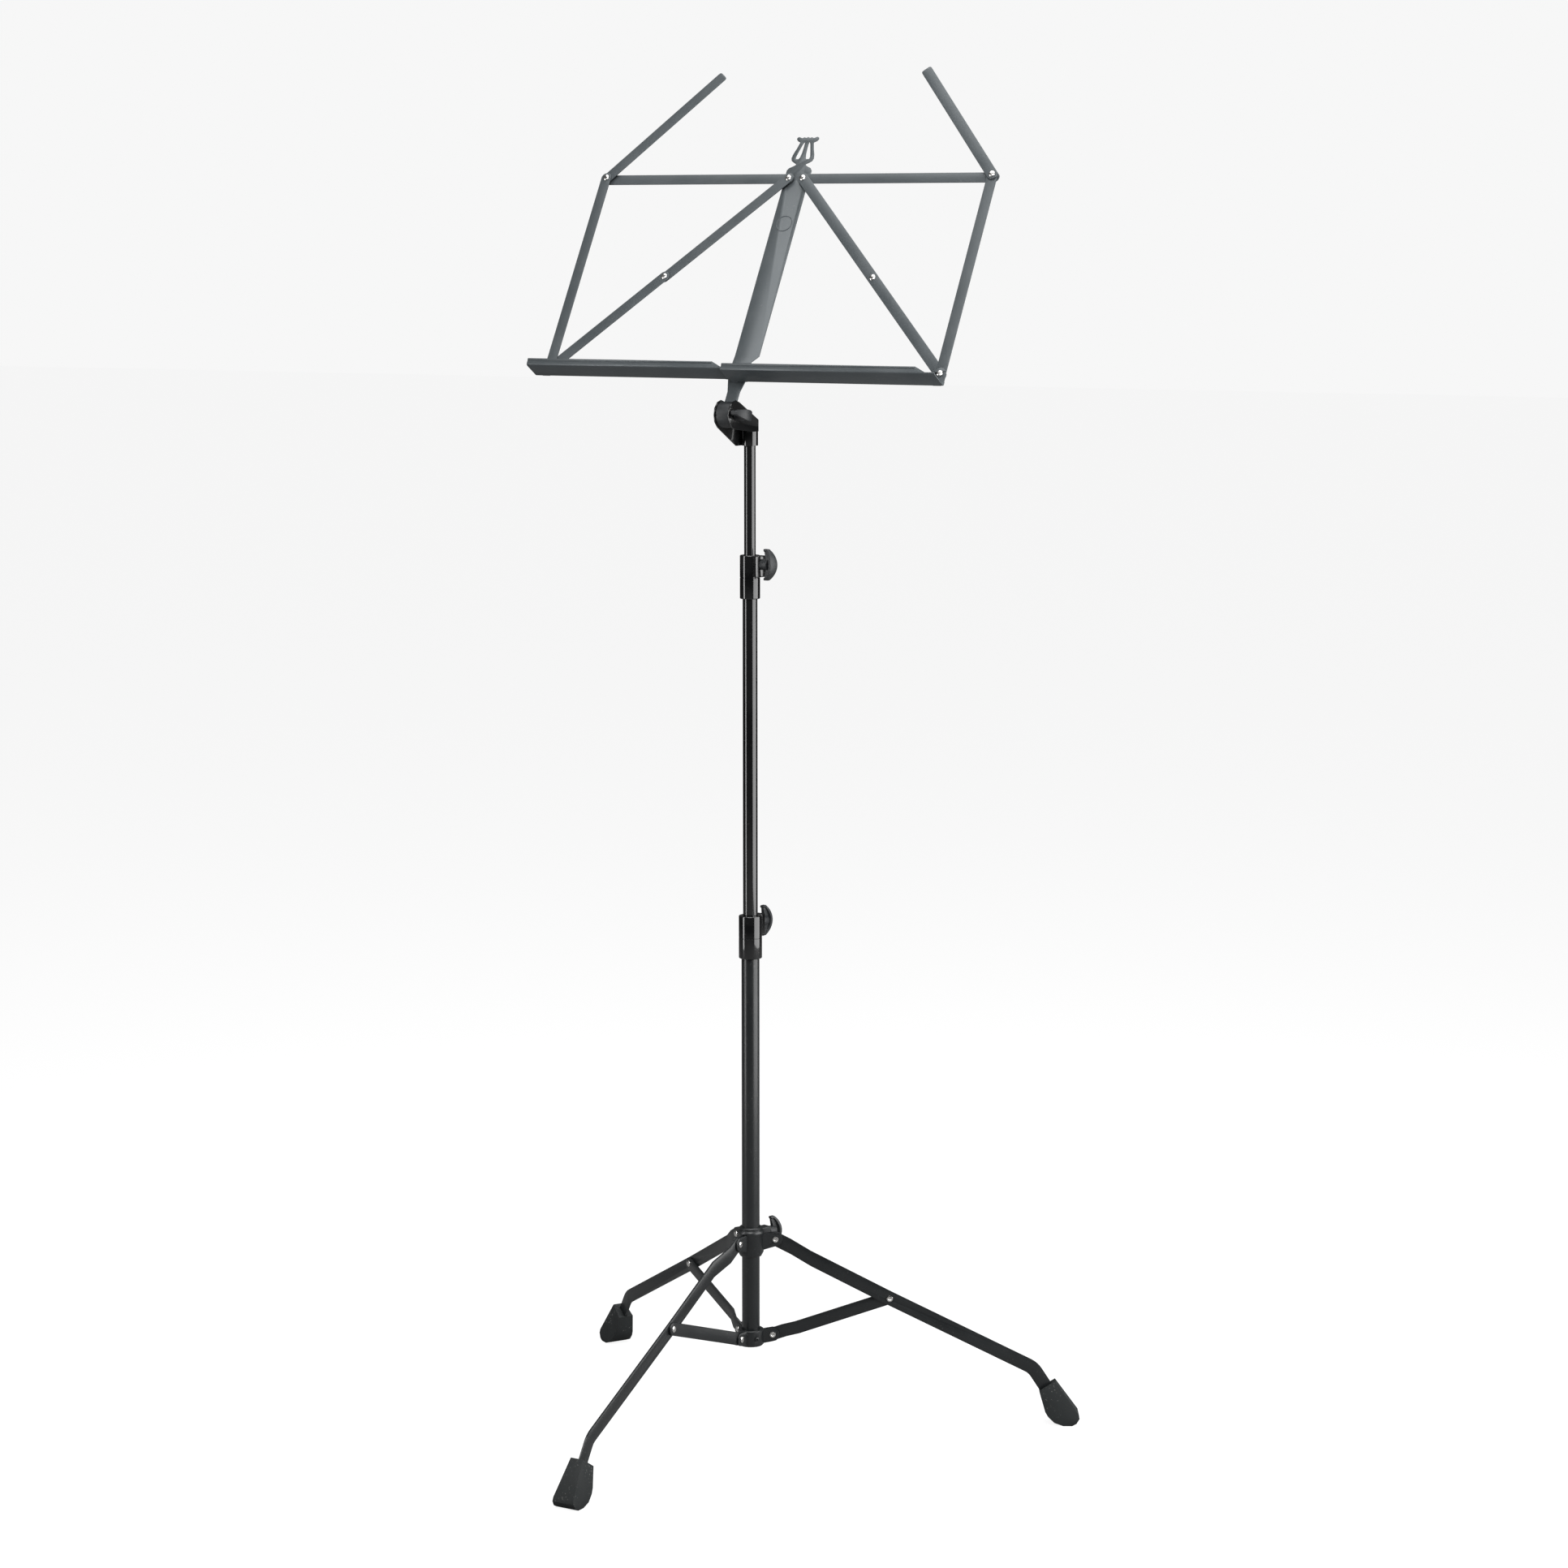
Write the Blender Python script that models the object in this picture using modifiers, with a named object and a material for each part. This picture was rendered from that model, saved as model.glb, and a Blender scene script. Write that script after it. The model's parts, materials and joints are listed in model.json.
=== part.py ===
"""Folding music stand: a three-part telescopic column on a folding tripod, with a folding desk of flat bars.

Metres, +Z up. The floor is z = 0, the desk's long side runs along X and the reader sits towards -Y.
Every moving piece hangs from an empty that lies on its joint's axis.
"""

import math

import bmesh
import bpy
from mathutils import Matrix, Vector
from mathutils.geometry import convex_hull_2d

MM = 0.001
GAP = 0.3 * MM
MERGE = 0.005 * MM

# Where the column stands, so that the whole stand is centred on the origin.
COLUMN_X = -12.93 * MM
COLUMN_Y = 84.28 * MM

# Column.
LOWER_TUBE_RADIUS, MIDDLE_TUBE_RADIUS, UPPER_TUBE_RADIUS = 11.0 * MM, 9.0 * MM, 7.0 * MM
TUBE_WALL = 1.2 * MM
COLUMN_BOTTOM = 98.0 * MM
LOWER_SLEEVE_Z, UPPER_SLEEVE_Z = 586.0 * MM, 1028.0 * MM
SLEEVE_HEIGHT = 53.0 * MM
SLEEVE_SEAT = 25.0 * MM
LOWER_SLEEVE_RADIUS, UPPER_SLEEVE_RADIUS = 14.25 * MM, 12.25 * MM
MIDDLE_TUBE_BOTTOM = 530.0 * MM
UPPER_TUBE_BOTTOM = 760.0 * MM
BOSS_REACH = 7.6 * MM
BOSS_WIDTH = 15.0 * MM
BOSS_HEIGHT = 26.0 * MM
KNOB_RISE = 2.5 * MM
LOWER_KNOB_AZIMUTH = 85.0
UPPER_KNOB_AZIMUTH = -12.5

# Tripod, in the upright plane through a leg: (distance from the column's axis, height).
LEG_AZIMUTHS = (27.4, 147.4, -92.6)
LEG_PIVOT = (30.7 * MM, 231.8 * MM)
STRUT_PIVOT = (27.2 * MM, 110.3 * MM)
CROSS_PIVOT = (172.4 * MM, 158.7 * MM)
LEG_BEND = (350.8 * MM, 70.5 * MM)
LEG_END = (381.0 * MM, 24.0 * MM)
LEG_WIDTH, LEG_THICKNESS, LEG_OFFSET = 17.0 * MM, 3.0 * MM, 8.5 * MM
LEG_JOGGLE = (19.0 * MM, 44.0 * MM)
STRUT_WIDTH, STRUT_THICKNESS = 16.0 * MM, 2.5 * MM
STRUT_JOGGLE = (15.0 * MM, 32.0 * MM)
LAP_GAP = 0.4 * MM
STRUT_OFFSET = LEG_OFFSET - (LEG_THICKNESS + STRUT_THICKNESS) / 2 - LAP_GAP
FOOT_OUTLINE = ((358.5, 41.5), (378.5, 54.5), (407.5, 14), (408.3, 9), (404.5, 3), (399, 0), (388, 0), (377, 4),
                (369, 11.5), (365.5, 17.5))
FOOT_TOP_Z = 54.0 * MM
FOOT_THICKNESS_TOP, FOOT_THICKNESS_SOLE = 17.0 * MM, 31.0 * MM
COLLAR_RADIUS = 16.0 * MM
LUG_WALL = 2.0 * MM
LUG_RADIUS = 8.5 * MM
COLLAR_KNOB_AZIMUTH = 70.0
COLLAR_KNOB_Z = 236.0 * MM
COLLAR_KNOB_FACE = 28.0 * MM
COLLAR_RING = ((13.2, 248), (14.8, 246.5), (14.8, 245.5), (14.0, 244.8), (15.8, 243.5), (16.8, 241.5), (16.8, 240),
               (16.0, 238.5), (16.0, 216), (13.4, 211), (11.3, 211), (11.3, 248))
PIN_AZIMUTH = -35.0
PIN_Z = 107.0 * MM

# Tilt joint under the desk.
TILT_Y, TILT_Z = -54.0 * MM, 1252.0 * MM
SOCKET_BOTTOM, SOCKET_TOP = 1213.0 * MM, 1244.0 * MM
SOCKET_RADIUS = 10.0 * MM
EAR_INSIDE, EAR_WALL, EAR_RADIUS = 9.0 * MM, 1.5 * MM, 17.3 * MM
SHORT_EAR_BOTTOM = 1230.0 * MM
DRUM_RADIUS = 15.5 * MM
BOLT_RADIUS = 3.0 * MM

# Desk, in its own plane: X to the reader's right, Y up the desk, Z out of it, with the tilt axis at Y = Z = 0.
DESK_LEAN = 31.1
PIVOT_HALF = 9.8 * MM
BOTTOM_LINE = 58.65 * MM
DESK_HEIGHT = 270.0 * MM
TOP_LINE = BOTTOM_LINE + DESK_HEIGHT
HALF_SPAN = 256.0 * MM
PLATE_BACK = -6.5 * MM
SHEET = 1.4 * MM
LAYER_PITCH = 1.8 * MM
BAR_WIDTH = 13.6 * MM
ARM_LENGTH = 190.0 * MM
ARM_LEAN = 50.0
JOGGLE_LOW, JOGGLE_HIGH = BOTTOM_LINE + 12.0 * MM, BOTTOM_LINE + 24.0 * MM
JOGGLE_STEP = 7.3 * MM
SHELF_DEPTH, LIP_HEIGHT, BACK_HEIGHT = 27.0 * MM, 8.6 * MM, 5.0 * MM
LEDGE_EAR = 8.0 * MM
LEFT_SHELF_DROP, RIGHT_SHELF_DROP = 12.5 * MM, 15.5 * MM
LEFT_OVERHANG, RIGHT_OVERHANG = 13.8 * MM, 8.5 * MM
SEAM_X = -8.0 * MM

# Rivets and knobs.
RIVET_SHANK, RIVET_HEAD = 2.0 * MM, 4.0 * MM
HOLE_RADIUS = RIVET_SHANK + 0.4 * MM
HEAD_HEIGHT, TAIL_HEIGHT = 1.5 * MM, 0.8 * MM
KNOB_HALF, KNOB_LENGTH, KNOB_THICK = 19.0 * MM, 18.5 * MM, 6.5 * MM
KNOB_TIP_LOW, KNOB_TIP_HIGH, KNOB_TIP_HALF = 3.5 * MM, 9.5 * MM, 2.0 * MM
KNOB_HUB_RADIUS, KNOB_HUB_LENGTH, KNOB_BORE_DEPTH = 6.8 * MM, 11.0 * MM, 6.5 * MM
STUD_RADIUS = 3.0 * MM

ROUND_STEPS = 24
SMALL_STEPS = 12

FINISHES = {
    "column_gloss": ((0.010, 0.010, 0.011), 0.22, 0.6),
    "tripod_satin": ((0.016, 0.017, 0.018), 0.38, 0.5),
    "desk_satin": ((0.085, 0.095, 0.105), 0.42, 0.5),
    "knob_plastic": ((0.020, 0.021, 0.022), 0.45, 0.0),
    "foot_rubber": ((0.018, 0.019, 0.020), 0.75, 0.0),
    "nickel": ((0.62, 0.60, 0.57), 0.2, 1.0),
}


def clear_scene():
    """Removes every object of the opening scene."""
    for obj in list(bpy.data.objects):
        bpy.data.objects.remove(obj, do_unlink=True)


def collection(name, helper=False):
    made = bpy.data.collections.new(name)
    made.hide_render = helper
    bpy.context.scene.collection.children.link(made)
    return made


def finish(name):
    """The named finish as a Principled material, made once."""
    known = bpy.data.materials.get(name)
    if known:
        return known
    colour, roughness, metallic = FINISHES[name]
    made = bpy.data.materials.new(name)
    made.use_nodes = True
    shader = made.node_tree.nodes["Principled BSDF"]
    shader.inputs["Base Color"].default_value = (*colour, 1.0)
    shader.inputs["Roughness"].default_value = roughness
    shader.inputs["Metallic"].default_value = metallic
    return made


clear_scene()
PARTS = collection("music_stand")
CUTTERS = collection("cutters", helper=True)


def rounded(angle):
    """A turn about Z, from degrees."""
    return Matrix.Rotation(math.radians(angle), 4, "Z")


def joint(name, parent, matrix):
    """An empty on a joint's axis, placed in its parent's frame."""
    empty = bpy.data.objects.new(name, None)
    PARTS.objects.link(empty)
    empty.parent = parent
    empty.matrix_local = matrix
    empty.empty_display_size = 0.02
    return empty


def add(name, mesh, parent, matrix, material=None):
    """An object with this mesh, placed in its parent's frame: a part, or a hidden tool when it has no material."""
    obj = bpy.data.objects.new(name, mesh)
    if material:
        PARTS.objects.link(obj)
        mesh.materials.append(finish(material))
        mesh.shade_smooth()
        mesh.set_sharp_from_angle(angle=math.radians(35))
    else:
        CUTTERS.objects.link(obj)
        obj.hide_render = True
        obj.display_type = "WIRE"
    obj.parent = parent
    obj.matrix_local = matrix
    return obj


def combine(target, tool, operation):
    """Joins the tool to the target, cuts it away, or keeps what they share."""
    modifier = target.modifiers.new(f"{operation.lower()}_{tool.name}"[:60], "BOOLEAN")
    modifier.operation = operation
    modifier.object = tool
    modifier.solver = "EXACT"


def circle(x, y, radius, steps=SMALL_STEPS):
    return [
        Vector((x + radius * math.cos(math.tau * i / steps), y + radius * math.sin(math.tau * i / steps)))
        for i in range(steps)
    ]


def arc(x, y, radius, start, end, steps=8):
    """Points of an arc between two angles in degrees."""
    angles = [math.radians(start + (end - start) * i / steps) for i in range(steps + 1)]
    return [Vector((x + radius * math.cos(a), y + radius * math.sin(a))) for a in angles]


def hull(*discs):
    """Outline round discs given as (x, y, radius). A radius of 0 is a sharp corner."""
    points = []
    for x, y, radius in discs:
        points += circle(x, y, radius) if radius else [Vector((x, y))]
    return [points[i] for i in convex_hull_2d(points)]


def band(path, width, fillet=0.0, steps=4):
    """Outline of a strip of even width along a path with rounded bends and square ends."""
    path = [Vector(point) for point in path]
    middle = [path[0]]
    for before, corner, after in zip(path, path[1:], path[2:]):
        into, out = (corner - before).normalized(), (after - corner).normalized()
        turn = into.angle_signed(out)
        reach = fillet * math.tan(abs(turn) / 2)
        centre = corner - into * reach + Vector((into.y, -into.x)) * fillet * math.copysign(1, turn)
        spoke = corner - into * reach - centre
        for i in range(steps + 1):
            middle.append(centre + Matrix.Rotation(-turn * i / steps, 2) @ spoke)
    middle.append(path[-1])
    left, right = [], []
    for i, point in enumerate(middle):
        into = (point - middle[i - 1]).normalized() if i else (middle[1] - point).normalized()
        out = (middle[i + 1] - point).normalized() if i < len(middle) - 1 else into
        side = (into + out).normalized()
        normal = Vector((-side.y, side.x)) * (width / 2) / max(side.dot(out), 0.5)
        left.append(point + normal)
        right.append(point - normal)
    return left + right[::-1]


def plate(name, outline, thickness, holes=()):
    """Mesh of a flat sheet in the XY plane, its thickness centred on Z, with round or shaped holes."""
    curve = bpy.data.curves.new(name, "CURVE")
    curve.dimensions = "2D"
    curve.fill_mode = "BOTH"
    curve.extrude = thickness / 2
    for loop in (outline, *holes):
        spline = curve.splines.new("POLY")
        spline.points.add(len(loop) - 1)
        for point, place in zip(spline.points, loop):
            point.co = (place[0], place[1], 0.0, 1.0)
        spline.use_cyclic_u = True
    guide = bpy.data.objects.new(name + "_outline", curve)
    CUTTERS.objects.link(guide)
    bpy.context.view_layer.update()
    graph = bpy.context.evaluated_depsgraph_get()
    mesh = bpy.data.meshes.new_from_object(guide.evaluated_get(graph))
    bpy.data.objects.remove(guide, do_unlink=True)
    bpy.data.curves.remove(curve)
    mesh.name = name
    edit(mesh, close_mesh)
    return mesh


def edit(mesh, change):
    work = bmesh.new()
    work.from_mesh(mesh)
    change(work)
    work.to_mesh(mesh)
    work.free()


def close_mesh(work):
    bmesh.ops.remove_doubles(work, verts=work.verts, dist=MERGE)
    bmesh.ops.recalc_face_normals(work, faces=work.faces)


def joggled(mesh, axis, start, end, step):
    """Steps the sheet sideways along Z between two places on an axis, as a press does."""

    def change(work):
        direction = Vector([float(i == axis) for i in range(3)])
        for place in (start, end):
            geometry = list(work.verts) + list(work.edges) + list(work.faces)
            bmesh.ops.bisect_plane(work, geom=geometry, plane_co=direction * place, plane_no=direction, dist=MERGE)
        for vert in work.verts:
            part = (vert.co[axis] - start) / (end - start)
            vert.co.z += step * min(max(part, 0.0), 1.0)

    edit(mesh, change)
    return mesh


def cylinder(name, radius, low, high, steps=SMALL_STEPS):
    """Mesh of a cylinder along Z."""
    mesh = bpy.data.meshes.new(name)
    work = bmesh.new()
    bmesh.ops.create_cone(
        work, cap_ends=True, segments=steps, radius1=radius, radius2=radius, depth=high - low,
        matrix=Matrix.Translation((0, 0, (low + high) / 2)),
    )
    work.to_mesh(mesh)
    work.free()
    return mesh


def block(name, low, high):
    """Mesh of a box between two corners."""
    low, high = Vector(low), Vector(high)
    mesh = bpy.data.meshes.new(name)
    work = bmesh.new()
    scale = Matrix.Diagonal((*(high - low), 1.0))
    bmesh.ops.create_cube(work, size=1.0, matrix=Matrix.Translation((low + high) / 2) @ scale)
    work.to_mesh(mesh)
    work.free()
    return mesh


def profile_mesh(name, profile, closed):
    mesh = bpy.data.meshes.new(name)
    edges = [(i, i + 1) for i in range(len(profile) - 1)]
    if closed:
        edges.append((len(profile) - 1, 0))
    mesh.from_pydata([(radius, 0.0, height) for radius, height in profile], edges, [])
    return mesh


def turned(name, profile, parent, matrix, material=None, closed=False, steps=ROUND_STEPS):
    """A piece turned about its Z axis. The profile runs down the outer side and up the bore."""
    obj = add(name, profile_mesh(name, profile, closed), parent, matrix, None)
    if material:
        CUTTERS.objects.unlink(obj)
        PARTS.objects.link(obj)
        obj.hide_render = False
        obj.display_type = "TEXTURED"
        obj.data.materials.append(finish(material))
    screw = obj.modifiers.new("turn", "SCREW")
    screw.steps = screw.render_steps = steps
    screw.use_merge_vertices = True
    screw.merge_threshold = MERGE
    screw.use_smooth_shade = True
    return obj


def tube(name, radius, wall, low, high, parent, material):
    inner = radius - wall
    profile = [(radius, high), (radius, low), (inner, low), (inner, high)]
    return turned(name, profile, parent, Matrix(), material, closed=True)


def rivet(name, parent, matrix, low, high, collar=None, tail=True, dome=HEAD_HEIGHT):
    """A rivet along Z: dome above the sheets at high, low tail under them at low, and a spacer between if needed."""
    top, bottom = high + GAP, low - GAP
    rise = [(RIVET_HEAD * math.cos(a), top + dome * math.sin(a)) for a in (1.1, 0.55)]
    profile = [(0.0, top + dome), *rise, (RIVET_HEAD, top), (RIVET_SHANK, top)]
    if collar:
        wide = RIVET_SHANK + 1.0 * MM
        profile += [(RIVET_SHANK, collar[1]), (wide, collar[1]), (wide, collar[0]), (RIVET_SHANK, collar[0])]
    if tail:
        wide = RIVET_HEAD * 0.85
        profile += [(RIVET_SHANK, bottom), (wide, bottom), (wide * 0.8, bottom - TAIL_HEIGHT), (0.0, bottom - TAIL_HEIGHT)]
    else:
        profile += [(RIVET_SHANK, low), (0.0, low)]
    return turned(name, profile, parent, matrix, "nickel", steps=SMALL_STEPS)


def facing(azimuth, height, distance=0.0):
    """Frame whose Z points outwards along an azimuth and whose Y points up."""
    outward = Matrix(((0, 0, 1, 0), (1, 0, 0, 0), (0, 1, 0, 0), (0, 0, 0, 1)))
    return Matrix.Translation((0, 0, height)) @ rounded(azimuth) @ Matrix.Translation((distance, 0, 0)) @ outward


def knob(name, parent, stud_reach=None):
    """Half-moon wing knob along its parent's +Z, wing along Y. The clamp's face is at Z = 0."""
    bore = STUD_RADIUS + GAP
    hub = [(0.0, KNOB_HUB_LENGTH), (KNOB_HUB_RADIUS, KNOB_HUB_LENGTH), (KNOB_HUB_RADIUS, GAP), (bore, GAP),
           (bore, KNOB_BORE_DEPTH), (0.0, KNOB_BORE_DEPTH)]
    obj = turned(name, hub, parent, Matrix(), "knob_plastic", steps=16)
    rise = KNOB_LENGTH - KNOB_TIP_HIGH
    radius = (KNOB_HALF**2 + rise**2) / (2 * rise)
    spread = math.degrees(math.asin(KNOB_HALF / radius))
    crown = arc(KNOB_LENGTH - radius, 0.0, radius, -spread, spread)
    root, root_half = KNOB_BORE_DEPTH + 0.7 * MM, 5.5 * MM
    outline = [*crown, Vector((KNOB_TIP_LOW, KNOB_HALF)), Vector((root, root_half)), Vector((root, -root_half)),
               Vector((KNOB_TIP_LOW, -KNOB_HALF))]
    wing_mesh = plate(name + "_wing", outline, 3 * KNOB_THICK)
    on_edge = Matrix(((0, 0, -1, 0), (0, 1, 0, 0), (1, 0, 0, 0), (0, 0, 0, 1)))
    wing = add(name + "_wing", wing_mesh, parent, on_edge)
    bulge = KNOB_THICK - KNOB_TIP_HALF
    radius = (KNOB_HALF**2 + bulge**2) / (2 * bulge)
    spread = math.degrees(math.asin(KNOB_HALF / radius))
    centre = KNOB_THICK - radius
    side = arc(centre, 0.0, radius, -spread, spread, 6)
    lens = side + [Vector((-p.x, -p.y)) for p in side]
    rim = add(name + "_lens", plate(name + "_lens", lens, 2.4 * KNOB_LENGTH), parent, Matrix())
    combine(wing, rim, "INTERSECT")
    combine(obj, wing, "UNION")
    if stud_reach:
        tip = -stud_reach
        stud = [(0.0, KNOB_BORE_DEPTH - GAP), (STUD_RADIUS, KNOB_BORE_DEPTH - GAP), (STUD_RADIUS, tip + MM),
                (STUD_RADIUS - MM, tip), (0.0, tip)]
        turned(name.replace("knob", "screw"), stud, parent, Matrix(), "nickel", steps=SMALL_STEPS)
    return obj


def clamp(name, parent, bottom, radius, seat_radius, grip_radius, azimuth):
    """Clamp sleeve: pressed on the lower tube up to its seat, it guides the sliding tube above, where a screw grips."""
    seat, top = bottom + SLEEVE_SEAT, bottom + SLEEVE_HEIGHT
    wide, narrow = seat_radius + GAP, grip_radius + GAP
    soft = 1.0 * MM
    profile = [
        (radius - soft, top), (radius, top - soft), (radius, bottom + soft), (radius - soft, bottom),
        (wide, bottom), (wide, seat), (narrow, seat), (narrow, top),
    ]
    sleeve = turned(name, profile, parent, Matrix(), "column_gloss", closed=True)
    face = radius + BOSS_REACH
    middle = top - BOSS_HEIGHT / 2
    out = rounded(azimuth)
    half = BOSS_WIDTH / 2
    low = (radius - 1.5 * MM, -half, middle - BOSS_HEIGHT / 2)
    high = (face, half, middle + BOSS_HEIGHT / 2)
    boss = add(name + "_boss", block(name + "_boss", low, high), parent, out)
    bevel = boss.modifiers.new("soft_edges", "BEVEL")
    bevel.width = soft
    bevel.segments = 1
    combine(sleeve, boss, "UNION")
    screw = middle + KNOB_RISE
    drill = add(name + "_drill", cylinder(name + "_drill", STUD_RADIUS + GAP, 0.0, 2 * face), parent, facing(azimuth, screw))
    combine(sleeve, drill, "DIFFERENCE")
    return facing(azimuth, screw, face), face - grip_radius - 2 * GAP


def collar(name, parent, profile, pivot, height_span, slot):
    """Turned collar with three pairs of lugs, each pair holding one strip of the tripod."""
    ring = turned(name, profile, parent, Matrix(), "tripod_satin", closed=True)
    low, high = height_span
    root = COLLAR_RADIUS - 2.5 * MM
    outline = hull((pivot[0], pivot[1], LUG_RADIUS), (root, low, 0.0), (root, high, 0.0))
    for number, azimuth in enumerate(LEG_AZIMUTHS, 1):
        for side in (-1, 1):
            label = f"{name}_lug_{number}_{'left' if side > 0 else 'right'}"
            lug_mesh = plate(label, outline, LUG_WALL, [circle(*pivot, HOLE_RADIUS)])
            frame = leg_frame(azimuth) @ Matrix.Translation((0, 0, side * (slot / 2 + LUG_WALL / 2)))
            lug = add(label, lug_mesh, parent, frame)
            combine(ring, lug, "UNION")
    return ring


def leg_frame(azimuth):
    """Upright plane through a leg: X outwards, Y up, Z clockwise round the column."""
    upright = Matrix.Rotation(math.radians(90), 4, "X")
    return rounded(azimuth) @ upright


def strip_path(pivot, points):
    return [(x - pivot[0], y - pivot[1]) for x, y in points]


def column(stand):
    lower_top = LOWER_SLEEVE_Z + SLEEVE_SEAT - GAP
    middle_top = UPPER_SLEEVE_Z + SLEEVE_SEAT - GAP
    lower = tube("lower_tube", LOWER_TUBE_RADIUS, TUBE_WALL, COLUMN_BOTTOM, lower_top, stand, "tripod_satin")
    frame, reach = clamp("lower_clamp_sleeve", stand, LOWER_SLEEVE_Z, LOWER_SLEEVE_RADIUS,
                         LOWER_TUBE_RADIUS, MIDDLE_TUBE_RADIUS, LOWER_KNOB_AZIMUTH)
    knob("lower_clamp_knob", joint("lower_knob_turn", stand, frame), reach)
    middle = joint("middle_slide", stand, Matrix())
    tube("middle_tube", MIDDLE_TUBE_RADIUS, TUBE_WALL, MIDDLE_TUBE_BOTTOM, middle_top, middle, "column_gloss")
    frame, reach = clamp("upper_clamp_sleeve", middle, UPPER_SLEEVE_Z, UPPER_SLEEVE_RADIUS,
                         MIDDLE_TUBE_RADIUS, UPPER_TUBE_RADIUS, UPPER_KNOB_AZIMUTH)
    knob("upper_clamp_knob", joint("upper_knob_turn", middle, frame), reach)
    upper = joint("upper_slide", middle, Matrix())
    tube("upper_tube", UPPER_TUBE_RADIUS, TUBE_WALL, UPPER_TUBE_BOTTOM, SOCKET_TOP - 4 * MM, upper, "column_gloss")
    return lower, upper


def tripod(stand, lower_tube):
    bore = LOWER_TUBE_RADIUS + GAP
    wall = COLLAR_RADIUS
    bottom, top = 97.0 * MM, 117.5 * MM
    base_profile = [(wall - 0.8 * MM, top), (wall, top - 0.8 * MM), (wall, bottom + 1.5 * MM),
                    (wall - 1.5 * MM, bottom), (bore, bottom), (bore, top)]
    low_span = (bottom + 2 * MM, top - MM)
    base = collar("lower_collar", stand, base_profile, STRUT_PIVOT, low_span, STRUT_THICKNESS + 2 * GAP)
    pin_frame = facing(PIN_AZIMUTH, PIN_Z)
    drill = add("pin_drill", cylinder("pin_drill", 1.9 * MM, 6 * MM, 30 * MM), stand, pin_frame)
    combine(base, drill, "DIFFERENCE")
    combine(lower_tube, drill, "DIFFERENCE")
    start, seat = LOWER_TUBE_RADIUS - TUBE_WALL, wall + GAP
    pin = [(0.0, seat + 1.2 * MM), (1.8 * MM, seat + MM), (2.8 * MM, seat), (1.5 * MM, seat), (1.5 * MM, start), (0.0, start)]
    turned("lower_collar_pin", pin, stand, pin_frame, "tripod_satin", steps=SMALL_STEPS)

    slide = joint("collar_slide", stand, Matrix())
    ring = [(radius * MM, height * MM) for radius, height in COLLAR_RING]
    moving = collar("sliding_collar", slide, ring, LEG_PIVOT, (218 * MM, 239 * MM), LEG_THICKNESS + 2 * GAP)
    face = COLLAR_KNOB_FACE
    low = (13.5 * MM, -6 * MM, COLLAR_KNOB_Z - 8 * MM)
    high = (face, 6 * MM, COLLAR_KNOB_Z + 8 * MM)
    boss = add("collar_boss", block("collar_boss", low, high), slide, rounded(COLLAR_KNOB_AZIMUTH))
    combine(moving, boss, "UNION")
    drill_mesh = cylinder("collar_drill", STUD_RADIUS + GAP, 0.0, 2 * face)
    drill = add("collar_drill", drill_mesh, slide, facing(COLLAR_KNOB_AZIMUTH, COLLAR_KNOB_Z))
    combine(moving, drill, "DIFFERENCE")
    turn = joint("collar_knob_turn", slide, facing(COLLAR_KNOB_AZIMUTH, COLLAR_KNOB_Z, face))
    knob("collar_knob", turn, face - LOWER_TUBE_RADIUS - GAP)

    for number, azimuth in enumerate(LEG_AZIMUTHS, 1):
        leg(number, azimuth, slide)
        strut(number, azimuth, stand)


def leg(number, azimuth, slide):
    frame = leg_frame(azimuth)
    hinge = joint(f"leg_hinge_{number}", slide, frame @ Matrix.Translation((*LEG_PIVOT, 0)))
    path = strip_path(LEG_PIVOT, (LEG_PIVOT, CROSS_PIVOT, LEG_BEND, LEG_END))
    cross = path[1]
    outline = rounded_start(band(path, LEG_WIDTH, 26 * MM), path, LEG_WIDTH)
    mesh = plate(f"leg_{number}", outline, LEG_THICKNESS, [circle(0, 0, HOLE_RADIUS), circle(*cross, HOLE_RADIUS)])
    joggled(mesh, 0, *LEG_JOGGLE, LEG_OFFSET)
    add(f"leg_{number}", mesh, hinge, Matrix(), "tripod_satin")
    foot(number, hinge)
    slot = LEG_THICKNESS / 2 + GAP + LUG_WALL
    rivet(f"leg_rivet_{number}", hinge, Matrix.Rotation(math.pi, 4, "X"), -slot, slot)
    back = Matrix.Translation((*cross, LEG_OFFSET))
    half = LEG_THICKNESS / 2
    rivet(f"cross_rivet_{number}", hinge, back, -half, half, tail=False)


def rounded_start(outline, path, width):
    """Replaces the square start of a band with a half round."""
    direction = Vector(path[1]).normalized()
    angle = math.degrees(math.atan2(direction.y, direction.x))
    return outline[1:-1] + arc(*path[0], width / 2, angle - 90, angle - 270, 8)


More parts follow.
